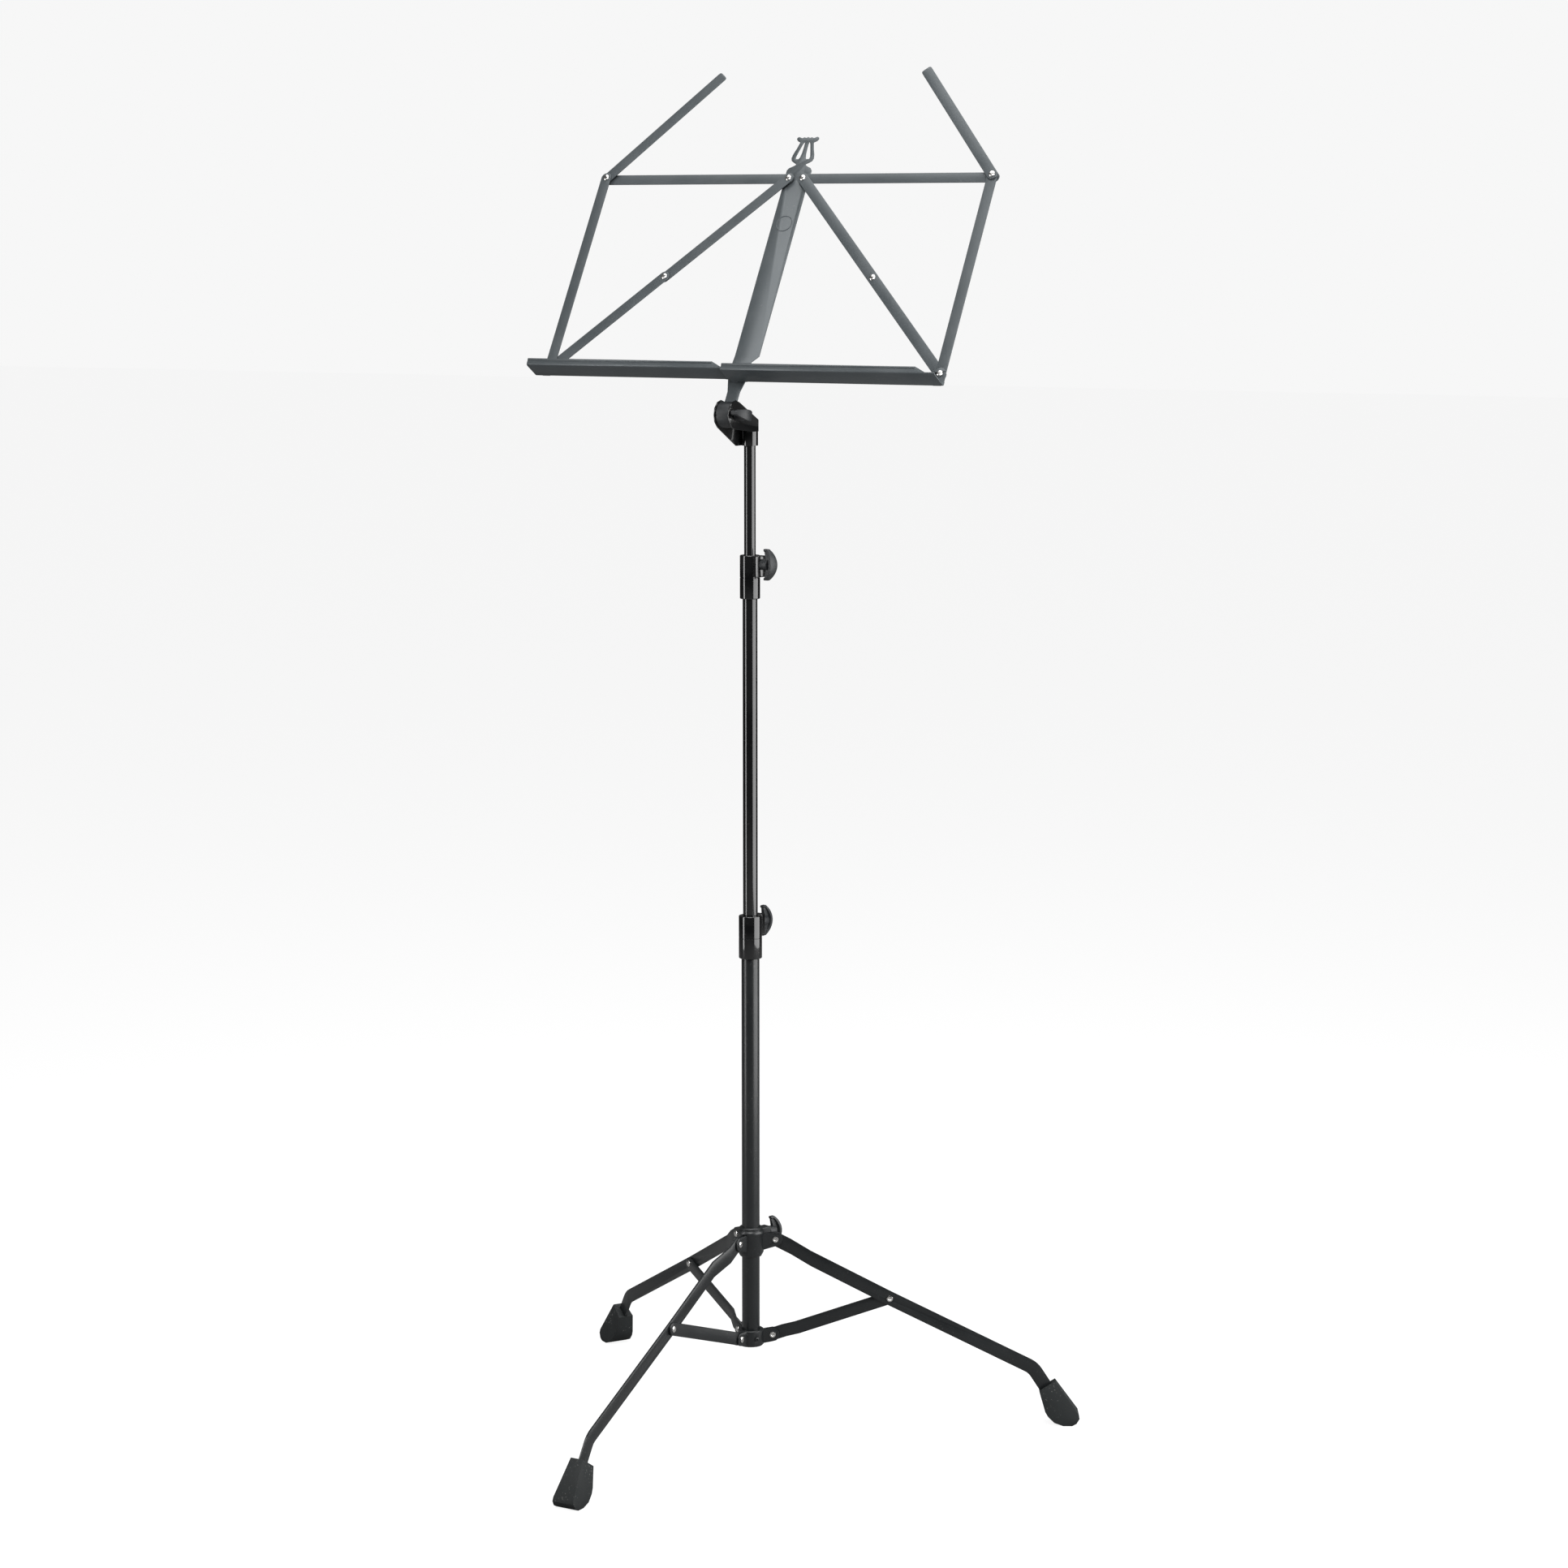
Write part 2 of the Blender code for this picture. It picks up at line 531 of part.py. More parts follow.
def foot(number, hinge):
    """Rubber foot: a wedge that widens and thickens to a rounded end with a flat sole, with a slot for the leg."""
    outline = [Vector((x * MM - LEG_PIVOT[0], y * MM - LEG_PIVOT[1])) for x, y in FOOT_OUTLINE]
    mesh = plate(f"foot_{number}", outline, FOOT_THICKNESS_SOLE)

    def wedge(work):
        top, sole = FOOT_TOP_Z - LEG_PIVOT[1], 4 * MM - LEG_PIVOT[1]
        for vert in work.verts:
            part = min(max((vert.co.y - sole) / (top - sole), 0.0), 1.0)
            vert.co.z *= 1 + part * (FOOT_THICKNESS_TOP / FOOT_THICKNESS_SOLE - 1)

    edit(mesh, wedge)
    obj = add(f"foot_{number}", mesh, hinge, Matrix.Translation((0, 0, LEG_OFFSET)), "foot_rubber")
    path = strip_path(LEG_PIVOT, (LEG_BEND, LEG_END))
    run = (Vector(path[1]) - Vector(path[0])).normalized()
    start, end = Vector(path[0]) + run * 12 * MM, Vector(path[1]) + run * GAP
    slot_outline = band((start, end), LEG_WIDTH + 2 * GAP)
    slot_mesh = plate(f"foot_slot_{number}", slot_outline, LEG_THICKNESS + 2 * GAP)
    slot = add(f"foot_slot_{number}", slot_mesh, hinge, Matrix.Translation((0, 0, LEG_OFFSET)))
    combine(obj, slot, "DIFFERENCE")


def strut(number, azimuth, stand):
    frame = leg_frame(azimuth)
    hinge = joint(f"strut_hinge_{number}", stand, frame @ Matrix.Translation((*STRUT_PIVOT, 0)))
    end = strip_path(STRUT_PIVOT, (CROSS_PIVOT,))[0]
    length = math.hypot(*end)
    outline = hull((0, 0, STRUT_WIDTH / 2), (length, 0, STRUT_WIDTH / 2))
    mesh = plate(f"strut_{number}", outline, STRUT_THICKNESS, [circle(0, 0, HOLE_RADIUS)])
    joggled(mesh, 0, *STRUT_JOGGLE, STRUT_OFFSET)
    add(f"strut_{number}", mesh, hinge, rounded(math.degrees(math.atan2(end[1], end[0]))), "tripod_satin")
    slot = STRUT_THICKNESS / 2 + GAP + LUG_WALL
    rivet(f"strut_rivet_{number}", hinge, Matrix.Rotation(math.pi, 4, "X"), -slot, slot)


def tilt_joint(upper):
    """Bracket with two ears on the top tube, and the bolt and knob that squeeze the desk's drum between them."""
    turn = joint("desk_swivel", upper, Matrix())
    socket = [(SOCKET_RADIUS, SOCKET_TOP), (SOCKET_RADIUS, SOCKET_BOTTOM),
              (UPPER_TUBE_RADIUS + GAP, SOCKET_BOTTOM), (UPPER_TUBE_RADIUS + GAP, SOCKET_TOP)]
    bracket = turned("tilt_bracket", socket, turn, Matrix(), "column_gloss", closed=True)
    side_on = Matrix(((0, 0, -1, 0), (-1, 0, 0, 0), (0, 1, 0, 0), (0, 0, 0, 1)))
    web = hull((-TILT_Y, TILT_Z, EAR_RADIUS), (-3 * MM, SOCKET_TOP, 0), (-3 * MM, SOCKET_BOTTOM, 0),
               (17 * MM, SOCKET_BOTTOM, 0))
    short = hull((-TILT_Y, TILT_Z, EAR_RADIUS), (-3 * MM, SOCKET_TOP, 0), (-3 * MM, SHORT_EAR_BOTTOM, 0),
                 (10 * MM, SHORT_EAR_BOTTOM, 0))
    for side, outline in ((-1, web), (1, short)):
        mesh = plate(f"tilt_ear_{side}", outline, EAR_WALL, [circle(-TILT_Y, TILT_Z, BOLT_RADIUS + GAP)])
        shift = Matrix.Translation((side * (EAR_INSIDE + EAR_WALL / 2), 0, 0))
        ear = add(f"tilt_ear_{side}", mesh, turn, shift @ side_on)
        combine(bracket, ear, "UNION")
    outside = EAR_INSIDE + EAR_WALL
    along = Matrix.Translation((0, TILT_Y, TILT_Z)) @ facing(0, 0)
    head = -outside - GAP
    bolt = [(0.0, outside + KNOB_BORE_DEPTH - GAP), (BOLT_RADIUS, outside + KNOB_BORE_DEPTH - GAP), (BOLT_RADIUS, head),
            (6.5 * MM, head), (5.6 * MM, head - 1.6 * MM), (0.0, head - 2.2 * MM)]
    turned("tilt_bolt", bolt, turn, along, "column_gloss", steps=SMALL_STEPS)
    knob_turn = joint("tilt_knob_turn", turn, along @ Matrix.Translation((0, 0, outside)) @ rounded(78))
    knob("tilt_knob", knob_turn)
    lean = Matrix.Rotation(math.radians(90 - DESK_LEAN), 4, "X")
    return joint("desk_tilt", turn, Matrix.Translation((0, TILT_Y, TILT_Z)) @ lean)


def layer(number):
    """Middle of a sheet layer, counted from the centre plate forwards."""
    return PLATE_BACK + number * LAYER_PITCH + SHEET / 2 + (0.1 * MM if number else 0.0)


def faces(number):
    """Back and front face of a sheet layer."""
    return layer(number) - SHEET / 2, layer(number) + SHEET / 2


def lyre(base):
    """Outline of the lyre on top of the plate, right half, with its opening beside the spike."""
    half = ((16.5, 4), (17.1, 10), (17, 13), (14.5, 16.5), (11, 18), (6.8, 20.5), (6.8, 22.3), (10, 23.8), (14, 26.5),
            (15.3, 30.2), (14.5, 35.4), (11.6, 43.8), (9.2, 52.3), (9.4, 53), (13.2, 55), (15.2, 57.6), (14.6, 59.8),
            (12.7, 60.7), (10.4, 60), (8.3, 59), (5, 60.2), (2.6, 59.3), (0, 60.6))
    opening = ((2.9, 53.5), (2.5, 51), (2.4, 45.6), (2.8, 37), (3.9, 30.8), (5.6, 28.9), (9.2, 29.2), (9.9, 32.2),
               (8.1, 39.8), (5.3, 50), (4, 53))
    return [[Vector((x * MM, base + y * MM)) for x, y in points] for points in (half, opening)]


def mirrored(points):
    return [Vector((-p[0], p[1])) for p in reversed(points)]


def desk_plate(desk):
    drum = [(DRUM_RADIUS, EAR_INSIDE - GAP), (DRUM_RADIUS, GAP - EAR_INSIDE), (BOLT_RADIUS + GAP, GAP - EAR_INSIDE),
            (BOLT_RADIUS + GAP, EAR_INSIDE - GAP)]
    along = facing(0, 0)
    core = turned("tilt_drum", drum, desk, along, "knob_plastic", closed=True)
    low_half, wide_half, plate_half = EAR_INSIDE - 2 * GAP, 12.75 * MM, 16.5 * MM
    foot_line = 5.0 * MM
    half, opening = lyre(TOP_LINE)
    right = [Vector((low_half, foot_line)), Vector((low_half, 30 * MM)), Vector((wide_half, 48 * MM)),
             Vector((wide_half, JOGGLE_LOW)), Vector((plate_half, JOGGLE_HIGH)), *half]
    outline = right[:-1] + [right[-1]] + mirrored(right[:-1])
    holes = [circle(side * PIVOT_HALF, line, HOLE_RADIUS) for side in (-1, 1) for line in (BOTTOM_LINE, TOP_LINE)]
    mesh = plate("desk_plate", outline, SHEET, [opening, mirrored(opening), *holes])
    joggled(mesh, 1, JOGGLE_LOW, JOGGLE_HIGH, -JOGGLE_STEP)
    add("desk_plate", mesh, desk, Matrix.Translation((0, 0, layer(0) + JOGGLE_STEP)), "desk_satin")
    thick = SHEET / 2 + GAP
    middle = layer(0) + JOGGLE_STEP
    low = (-EAR_INSIDE - MM, foot_line - GAP, middle - thick)
    high = (EAR_INSIDE + MM, 2 * DRUM_RADIUS, middle + thick)
    slot = add("drum_slot", block("drum_slot", low, high), desk, Matrix())
    combine(core, slot, "DIFFERENCE")


def bar(name, hinge, angle, length, level, holes, width=BAR_WIDTH):
    """Flat bar with round ends, from its hinge along an angle in the desk's plane."""
    outline = hull((0, 0, width / 2), (length, 0, width / 2))
    mesh = plate(name, outline, SHEET, [circle(x, 0, HOLE_RADIUS) for x in holes])
    return add(name, mesh, hinge, rounded(angle) @ Matrix.Translation((0, 0, layer(level))), "desk_satin")


def ledge(side_name, side, desk):
    """Half of the music ledge: a channel with a low back, a shelf and a lip, on two ears round its pivots."""
    left = side < 0
    drop = LEFT_SHELF_DROP if left else RIGHT_SHELF_DROP
    depth = SHELF_DEPTH if left else SHELF_DEPTH + 1.8 * MM
    inner = (SEAM_X - 0.5 * MM) if left else SEAM_X
    outer = side * (PIVOT_HALF + HALF_SPAN + (LEFT_OVERHANG if left else RIGHT_OVERHANG))
    hinge = joint(f"ledge_hinge_{side_name}", desk, Matrix.Translation((side * PIVOT_HALF, BOTTOM_LINE, 0)))
    back = layer(5)
    path = ((back, BACK_HEIGHT - drop), (back, -drop), (back + depth, -drop), (back + depth, LIP_HEIGHT - drop))
    section = band(path, SHEET, 2 * MM, 2)
    length = abs(outer - inner)
    across = Matrix(((0, 0, -1, 0), (0, 1, 0, 0), (1, 0, 0, 0), (0, 0, 0, 1)))
    middle = Matrix.Translation(((outer + inner) / 2 - side * PIVOT_HALF, 0, 0))
    name = f"ledge_{side_name}"
    obj = add(name, plate(name, section, length), hinge, middle @ across, "desk_satin")
    for place in (0.0, side * HALF_SPAN):
        label = f"{name}_ear_{'inner' if place == 0.0 else 'outer'}"
        foot_y = -drop + SHEET
        outline = hull((place, 0, LEDGE_EAR), (place - LEDGE_EAR, foot_y, 0), (place + LEDGE_EAR, foot_y, 0),
                       (place - LEDGE_EAR + 3 * MM, -drop, 0), (place + LEDGE_EAR - 3 * MM, -drop, 0))
        ear_mesh = plate(label, outline, SHEET, [circle(place, 0, HOLE_RADIUS)])
        ear = add(label, ear_mesh, hinge, Matrix.Translation((0, 0, back)))
        combine(obj, ear, "UNION")
    lip_top, lip_root = LIP_HEIGHT - drop + MM, SHEET - drop
    if left:
        ends = ((-25 * MM, lip_top), (-9 * MM, lip_root), (20 * MM, lip_root), (20 * MM, lip_top))
    else:
        tip = PIVOT_HALF + HALF_SPAN
        ends = ((tip - 20 * MM, lip_top), (tip - 4 * MM, lip_root), (tip + 20 * MM, lip_root), (tip + 20 * MM, lip_top))
    local = [Vector((x - side * PIVOT_HALF, y)) for x, y in ends]
    trim = add(f"{name}_trim", plate(f"{name}_trim", local, 12 * MM), hinge,
               Matrix.Translation((0, 0, back + depth)))
    combine(obj, trim, "DIFFERENCE")
    if not left:
        low = (SEAM_X - PIVOT_HALF - MM, SHEET / 2 + MM / 10 - drop, back - 2 * MM)
        high = (-LEDGE_EAR - GAP, MM, back + 3 * MM)
        relief = add(f"{name}_relief", block(f"{name}_relief", low, high), hinge, Matrix())
        combine(obj, relief, "DIFFERENCE")
    return hinge, back


def desk_side(side_name, side, desk):
    """One half of the folding desk. Layer numbers count forwards from the plate."""
    left = side < 0
    across = 180 if left else 0
    diagonal = math.hypot(HALF_SPAN, DESK_HEIGHT)
    upper_length = (diagonal + DESK_HEIGHT - HALF_SPAN) / 2
    lower_length = diagonal - upper_length
    slope = math.degrees(math.atan2(DESK_HEIGHT, HALF_SPAN))
    down = 180 + slope if left else -slope
    top = joint(f"top_bar_hinge_{side_name}", desk, Matrix.Translation((side * PIVOT_HALF, TOP_LINE, 0)))
    bar(f"top_bar_{side_name}", top, across, HALF_SPAN, 1, (0, HALF_SPAN))
    upper = joint(f"diagonal_hinge_{side_name}", desk, Matrix.Translation((side * PIVOT_HALF, TOP_LINE, 0)))
    bar(f"upper_diagonal_{side_name}", upper, down, upper_length, 2, (0, upper_length))
    rivet(f"centre_rivet_{side_name}", desk, Matrix.Translation((side * PIVOT_HALF, TOP_LINE, 0)),
          faces(0)[0], faces(2)[1], dome=1.3 * MM)

    elbow_place = Matrix.Translation(rounded(down) @ Vector((upper_length, 0, 0)))
    elbow = joint(f"elbow_hinge_{side_name}", upper, elbow_place)
    bar(f"lower_diagonal_{side_name}", elbow, down, lower_length, 3, (0,))
    rivet(f"elbow_rivet_{side_name}", upper, elbow_place, faces(2)[0], faces(3)[1], dome=1.2 * MM)

    corner = joint(f"side_bar_hinge_{side_name}", top, Matrix.Translation((side * HALF_SPAN, 0, 0)))
    bar(f"side_bar_{side_name}", corner, -90, DESK_HEIGHT, 4, (0, DESK_HEIGHT))
    arm_level = 3 if left else 5
    front = faces(4)[1] if left else faces(5)[1]
    spacer = (faces(2)[0], faces(2)[1]) if left else (faces(2)[0], faces(3)[1])
    rivet(f"corner_rivet_{side_name}", corner, Matrix(), faces(1)[0], front, collar=spacer)
    arm = joint(f"arm_hinge_{side_name}", top, Matrix.Translation((side * HALF_SPAN, 0, 0)))
    lean = ARM_LEAN if left else 180 - ARM_LEAN
    bar(f"page_arm_{side_name}", arm, lean, ARM_LENGTH, arm_level, (0,))

    hinge, back = ledge(side_name, side, desk)
    inner = Matrix.Translation((side * PIVOT_HALF, BOTTOM_LINE, 0))
    plate_face = layer(0) + JOGGLE_STEP - SHEET / 2
    rivet(f"ledge_rivet_{side_name}", desk, inner, plate_face, back + SHEET / 2)
    rivet(f"ledge_end_rivet_{side_name}", hinge, Matrix.Translation((side * HALF_SPAN, 0, 0)),
          faces(4)[0] + 0.05 * MM, back + SHEET / 2, tail=False)


def main():
    stand = joint("stand", None, Matrix.Translation((COLUMN_X, COLUMN_Y, 0)))
    lower_tube, upper = column(stand)
    tripod(stand, lower_tube)
    desk = tilt_joint(upper)
    desk_plate(desk)
    for side_name, side in (("left", -1), ("right", 1)):
        desk_side(side_name, side, desk)


main()
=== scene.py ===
"""Looks of a folding music stand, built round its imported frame.

Every piece takes its place from the frame's nodes and joints, in metres. Each sub-assembly is a
class that models its pieces, dresses them in a finish and lets them ride on their bodies.
"""

import json
import logging
import math
from dataclasses import dataclass
from enum import Enum
from typing import Callable, Optional, Sequence

import bmesh
import bpy
from mathutils import Matrix, Vector


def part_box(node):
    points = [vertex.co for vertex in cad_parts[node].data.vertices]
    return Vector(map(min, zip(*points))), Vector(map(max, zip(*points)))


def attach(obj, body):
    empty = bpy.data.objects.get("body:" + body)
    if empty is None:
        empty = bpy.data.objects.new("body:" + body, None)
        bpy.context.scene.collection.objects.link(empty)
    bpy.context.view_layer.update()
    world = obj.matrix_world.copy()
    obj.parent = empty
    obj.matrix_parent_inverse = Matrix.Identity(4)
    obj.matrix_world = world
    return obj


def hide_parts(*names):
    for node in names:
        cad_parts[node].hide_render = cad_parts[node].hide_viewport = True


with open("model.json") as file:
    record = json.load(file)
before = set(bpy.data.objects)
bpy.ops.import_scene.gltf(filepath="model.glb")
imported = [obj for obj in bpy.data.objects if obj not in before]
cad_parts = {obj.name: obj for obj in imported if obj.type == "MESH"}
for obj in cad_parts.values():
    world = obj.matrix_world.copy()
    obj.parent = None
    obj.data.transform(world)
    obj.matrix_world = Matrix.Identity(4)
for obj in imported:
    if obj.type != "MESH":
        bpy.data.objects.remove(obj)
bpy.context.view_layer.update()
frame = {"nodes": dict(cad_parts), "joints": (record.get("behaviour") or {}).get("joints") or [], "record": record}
LOG = logging.getLogger("music_stand")

MM = 0.001
WELD = 0.00001
SQUARENESS = 0.4
DUST_COLOUR = (0.55, 0.54, 0.51)
UPRIGHT = Vector((0, 0, 1))
SIDEWAYS = Vector((1, 0, 0))
SIDES = ("left", "right")
LEGS = (1, 2, 3)
JOINTS = {joint["name"]: joint for joint in frame["joints"]}
BODY_OF = {node: body for body, nodes in frame["record"]["behaviour"]["bodies"].items() for node in nodes}
SLOT_OF = {part["node"]: part["material_slot"] for part in frame["record"]["subparts"]}


class Finish(Enum):
    """The finishes of the stand, named as the record's material slots."""

    COLUMN = "column_gloss"
    TRIPOD = "tripod_satin"
    DESK = "desk_satin"
    KNOB = "knob_plastic"
    FOOT = "foot_rubber"
    NICKEL = "nickel"


# Shader groups and finishes


def new_group(name: str, inputs: Sequence[tuple[str, str, float]], outputs: Sequence[tuple[str, str]]
              ) -> tuple[bpy.types.NodeTree, bpy.types.Node, bpy.types.Node]:
    """Starts a shader node group with float or vector sockets.

    Args:
        name: the group's name.
        inputs: (socket name, socket type, default) for each input.
        outputs: (socket name, socket type) for each output.

    Returns:
        The group, its input node and its output node.
    """
    group = bpy.data.node_groups.new(name, "ShaderNodeTree")
    for label, kind, default in inputs:
        socket = group.interface.new_socket(label, in_out="INPUT", socket_type=kind)
        if kind == "NodeSocketFloat":
            socket.default_value = default
    for label, kind in outputs:
        group.interface.new_socket(label, in_out="OUTPUT", socket_type=kind)
    return group, group.nodes.new("NodeGroupInput"), group.nodes.new("NodeGroupOutput")


def noise(tree: bpy.types.NodeTree, vector, scale, detail: float = 3.0) -> bpy.types.Node:
    """Adds a noise texture fed by a vector socket. The scale is a number or a socket."""
    node = tree.nodes.new("ShaderNodeTexNoise")
    node.inputs["Detail"].default_value = detail
    tree.links.new(vector, node.inputs["Vector"])
    if isinstance(scale, (int, float)):
        node.inputs["Scale"].default_value = scale
    else:
        tree.links.new(scale, node.inputs["Scale"])
    return node


def ramp(tree: bpy.types.NodeTree, value, low: float, high: float, out_low: float = 0.0,
         out_high: float = 1.0) -> bpy.types.NodeSocket:
    """Adds a clamped map range after a socket.

    Args:
        tree: the node tree.
        value: the socket to map.
        low: the input that gives out_low.
        high: the input that gives out_high.
        out_low: the lowest result.
        out_high: the highest result.

    Returns:
        The result socket.
    """
    node = tree.nodes.new("ShaderNodeMapRange")
    node.clamp = True
    for label, number in (("From Min", low), ("From Max", high), ("To Min", out_low), ("To Max", out_high)):
        node.inputs[label].default_value = number
    tree.links.new(value, node.inputs["Value"])
    return node.outputs["Result"]


def math_node(tree: bpy.types.NodeTree, operation: str, first, second) -> bpy.types.NodeSocket:
    """Adds a maths node on two sockets or numbers and gives its value socket."""
    node = tree.nodes.new("ShaderNodeMath")
    node.operation = operation
    for slot, value in zip(node.inputs, (first, second)):
        if isinstance(value, (int, float)):
            slot.default_value = value
        else:
            tree.links.new(value, slot)
    return node.outputs["Value"]


def blend(tree: bpy.types.NodeTree, first, second: Sequence[float], factor) -> bpy.types.NodeSocket:
    """Adds a colour mix.

    Args:
        tree: the node tree.
        first: the colour at factor 0, plain or a socket.
        second: the plain colour at factor 1.
        factor: the factor's socket.

    Returns:
        The mixed colour's socket.
    """
    node = tree.nodes.new("ShaderNodeMix")
    node.data_type = "RGBA"
    node.inputs["B"].default_value = (*second, 1.0)
    if isinstance(first, tuple):
        node.inputs["A"].default_value = (*first, 1.0)
    else:
        tree.links.new(first, node.inputs["A"])
    tree.links.new(factor, node.inputs["Factor"])
    return node.outputs["Result"]


def coat_texture_group() -> bpy.types.NodeTree:
    """Makes the surface texture of a sprayed coat: orange peel, broad tone drift and specks of dust."""
    group, entry, leave = new_group(
        "coat_texture",
        (("Vector", "NodeSocketVector", 0.0), ("Peel Scale", "NodeSocketFloat", 900.0),
         ("Drift Scale", "NodeSocketFloat", 14.0), ("Dust Amount", "NodeSocketFloat", 0.3)),
        (("Height", "NodeSocketFloat"), ("Drift", "NodeSocketFloat"), ("Dust", "NodeSocketFloat")),
    )
    peel = noise(group, entry.outputs["Vector"], entry.outputs["Peel Scale"], 2.0)
    drift = noise(group, entry.outputs["Vector"], entry.outputs["Drift Scale"], 4.0)
    specks = noise(group, entry.outputs["Vector"], 420.0, 1.0)
    cloud = noise(group, entry.outputs["Vector"], 30.0, 5.0)
    dots = ramp(group, specks.outputs["Fac"], 0.66, 0.74)
    patches = ramp(group, cloud.outputs["Fac"], 0.45, 0.75)
    dust = math_node(group, "MULTIPLY", dots, patches)
    dust = math_node(group, "MULTIPLY", dust, entry.outputs["Dust Amount"])
    group.links.new(peel.outputs["Fac"], leave.inputs["Height"])
    group.links.new(drift.outputs["Fac"], leave.inputs["Drift"])
    group.links.new(dust, leave.inputs["Dust"])
    return group


def streak_group() -> bpy.types.NodeTree:
    """Makes the shared fine scratches that run along one direction of a handled or rolled surface."""
    group, entry, leave = new_group(
        "handling_streaks",
        (("Vector", "NodeSocketVector", 0.0), ("Scale", "NodeSocketFloat", 60.0)),
        (("Streaks", "NodeSocketFloat"),),
    )
    stretch = group.nodes.new("ShaderNodeMapping")
    stretch.inputs["Scale"].default_value = (1.0, 1.0, 0.06)
    group.links.new(entry.outputs["Vector"], stretch.inputs["Vector"])
    lines = noise(group, stretch.outputs["Vector"], entry.outputs["Scale"], 6.0)
    group.links.new(ramp(group, lines.outputs["Fac"], 0.35, 0.7), leave.inputs["Streaks"])
    return group


@dataclass(frozen=True)
class Coating:
    """One finish of the stand.

    Args:
        colour: base colour, linear.
        shade: the darker tone that the colour drifts to.
        roughness: lowest and highest roughness over the surface.
        metallic: the shader's metallic value.
        coat: weight of the clear coat.
        coat_roughness: roughness of the clear coat.
        peel_scale: texture cells a metre of the surface's grain.
        peel_depth: height of that grain in metres.
        drift_scale: cells a metre of the slow tone drift.
        dust: strength of the dust specks.
        streaks: how much the streaks change the roughness.
        specular: specular level of the shader.
    """

    colour: tuple[float, float, float]
    shade: tuple[float, float, float]
    roughness: tuple[float, float]
    metallic: float = 0.0
    coat: float = 0.0
    coat_roughness: float = 0.05
    peel_scale: float = 900.0
    peel_depth: float = 0.00001
    drift_scale: float = 14.0
    dust: float = 0.3
    streaks: float = 0.1
    specular: float = 0.5

    def build(self, name: str, texture: bpy.types.NodeTree,
              streaks: bpy.types.NodeTree) -> bpy.types.Material:
        """Builds the material.

        Args:
            name: the material's name.
            texture: the shared coat texture group.
            streaks: the shared streak group.

        Returns:
            The new material.
        """
        material = bpy.data.materials.new(name)
        material.use_nodes = True
        tree = material.node_tree
        shader = tree.nodes["Principled BSDF"]
        for label, value in (("Metallic", self.metallic), ("Coat Weight", self.coat),
                             ("Coat Roughness", self.coat_roughness), ("Specular IOR Level", self.specular)):
            shader.inputs[label].default_value = value
        place = tree.nodes.new("ShaderNodeTexCoord").outputs["Object"]
        coat = tree.nodes.new("ShaderNodeGroup")
        coat.node_tree = texture
        for label, value in (("Peel Scale", self.peel_scale), ("Drift Scale", self.drift_scale),
                             ("Dust Amount", self.dust)):
            coat.inputs[label].default_value = value
        tree.links.new(place, coat.inputs["Vector"])
        lines = tree.nodes.new("ShaderNodeGroup")
        lines.node_tree = streaks
        tree.links.new(place, lines.inputs["Vector"])

        tone = blend(tree, self.shade, self.colour, ramp(tree, coat.outputs["Drift"], 0.3, 0.7))
        dusted = blend(tree, tone, DUST_COLOUR, coat.outputs["Dust"])
        tree.links.new(dusted, shader.inputs["Base Color"])

        low, high = self.roughness
        rough = ramp(tree, coat.outputs["Drift"], 0.3, 0.7, low, high)
        wear = math_node(tree, "MULTIPLY", lines.outputs["Streaks"], self.streaks)
        rough = math_node(tree, "ADD", rough, wear)
        dust = math_node(tree, "MULTIPLY", coat.outputs["Dust"], 0.4)
        tree.links.new(math_node(tree, "ADD", rough, dust), shader.inputs["Roughness"])

        bump = tree.nodes.new("ShaderNodeBump")
        bump.inputs["Distance"].default_value = self.peel_depth
        tree.links.new(coat.outputs["Height"], bump.inputs["Height"])
        tree.links.new(bump.outputs["Normal"], shader.inputs["Normal"])
        return material


COATINGS = {
    Finish.COLUMN: Coating(
        (0.0045, 0.0048, 0.0052), (0.003, 0.0032, 0.0035), (0.13, 0.17), coat=0.7, coat_roughness=0.03,
        peel_scale=400, peel_depth=0.0000004, dust=0.04, streaks=0.02),
    Finish.TRIPOD: Coating(
        (0.0115, 0.0135, 0.0145), (0.008, 0.0095, 0.0105), (0.27, 0.36), coat=0.2, coat_roughness=0.18,
        peel_scale=1100, peel_depth=0.000003, dust=0.1, streaks=0.06),
    Finish.DESK: Coating(
        (0.082, 0.093, 0.099), (0.066, 0.077, 0.083), (0.34, 0.42), metallic=0.25, coat=0.1,
        coat_roughness=0.2, peel_scale=1300, peel_depth=0.000003, dust=0.1, streaks=0.06),
    Finish.KNOB: Coating(
        (0.020, 0.022, 0.024), (0.014, 0.016, 0.018), (0.40, 0.50), peel_scale=1800, peel_depth=0.00002,
        dust=0.2, streaks=0.06),
    Finish.FOOT: Coating(
        (0.015, 0.018, 0.0185), (0.009, 0.011, 0.0115), (0.55, 0.75), peel_depth=0.00005, drift_scale=60,
        dust=0.4, specular=0.4),
    Finish.NICKEL: Coating(
        (0.86, 0.85, 0.83), (0.74, 0.73, 0.71), (0.12, 0.22), metallic=1.0, peel_scale=500,
        peel_depth=0.000004, drift_scale=200, dust=0.05),
}


# Modelling helpers


def deselect() -> None:
    """Leaves edit mode and deselects every object."""
    if bpy.context.object and bpy.context.object.mode != "OBJECT":
        bpy.ops.object.mode_set(mode="OBJECT")
    for obj in bpy.context.selected_objects:
        obj.select_set(False)


def linked(name: str, data: bpy.types.ID) -> bpy.types.Object:
    """Adds an object with the given data to the scene."""
    obj = bpy.data.objects.new(name, data)
    bpy.context.scene.collection.objects.link(obj)
    return obj


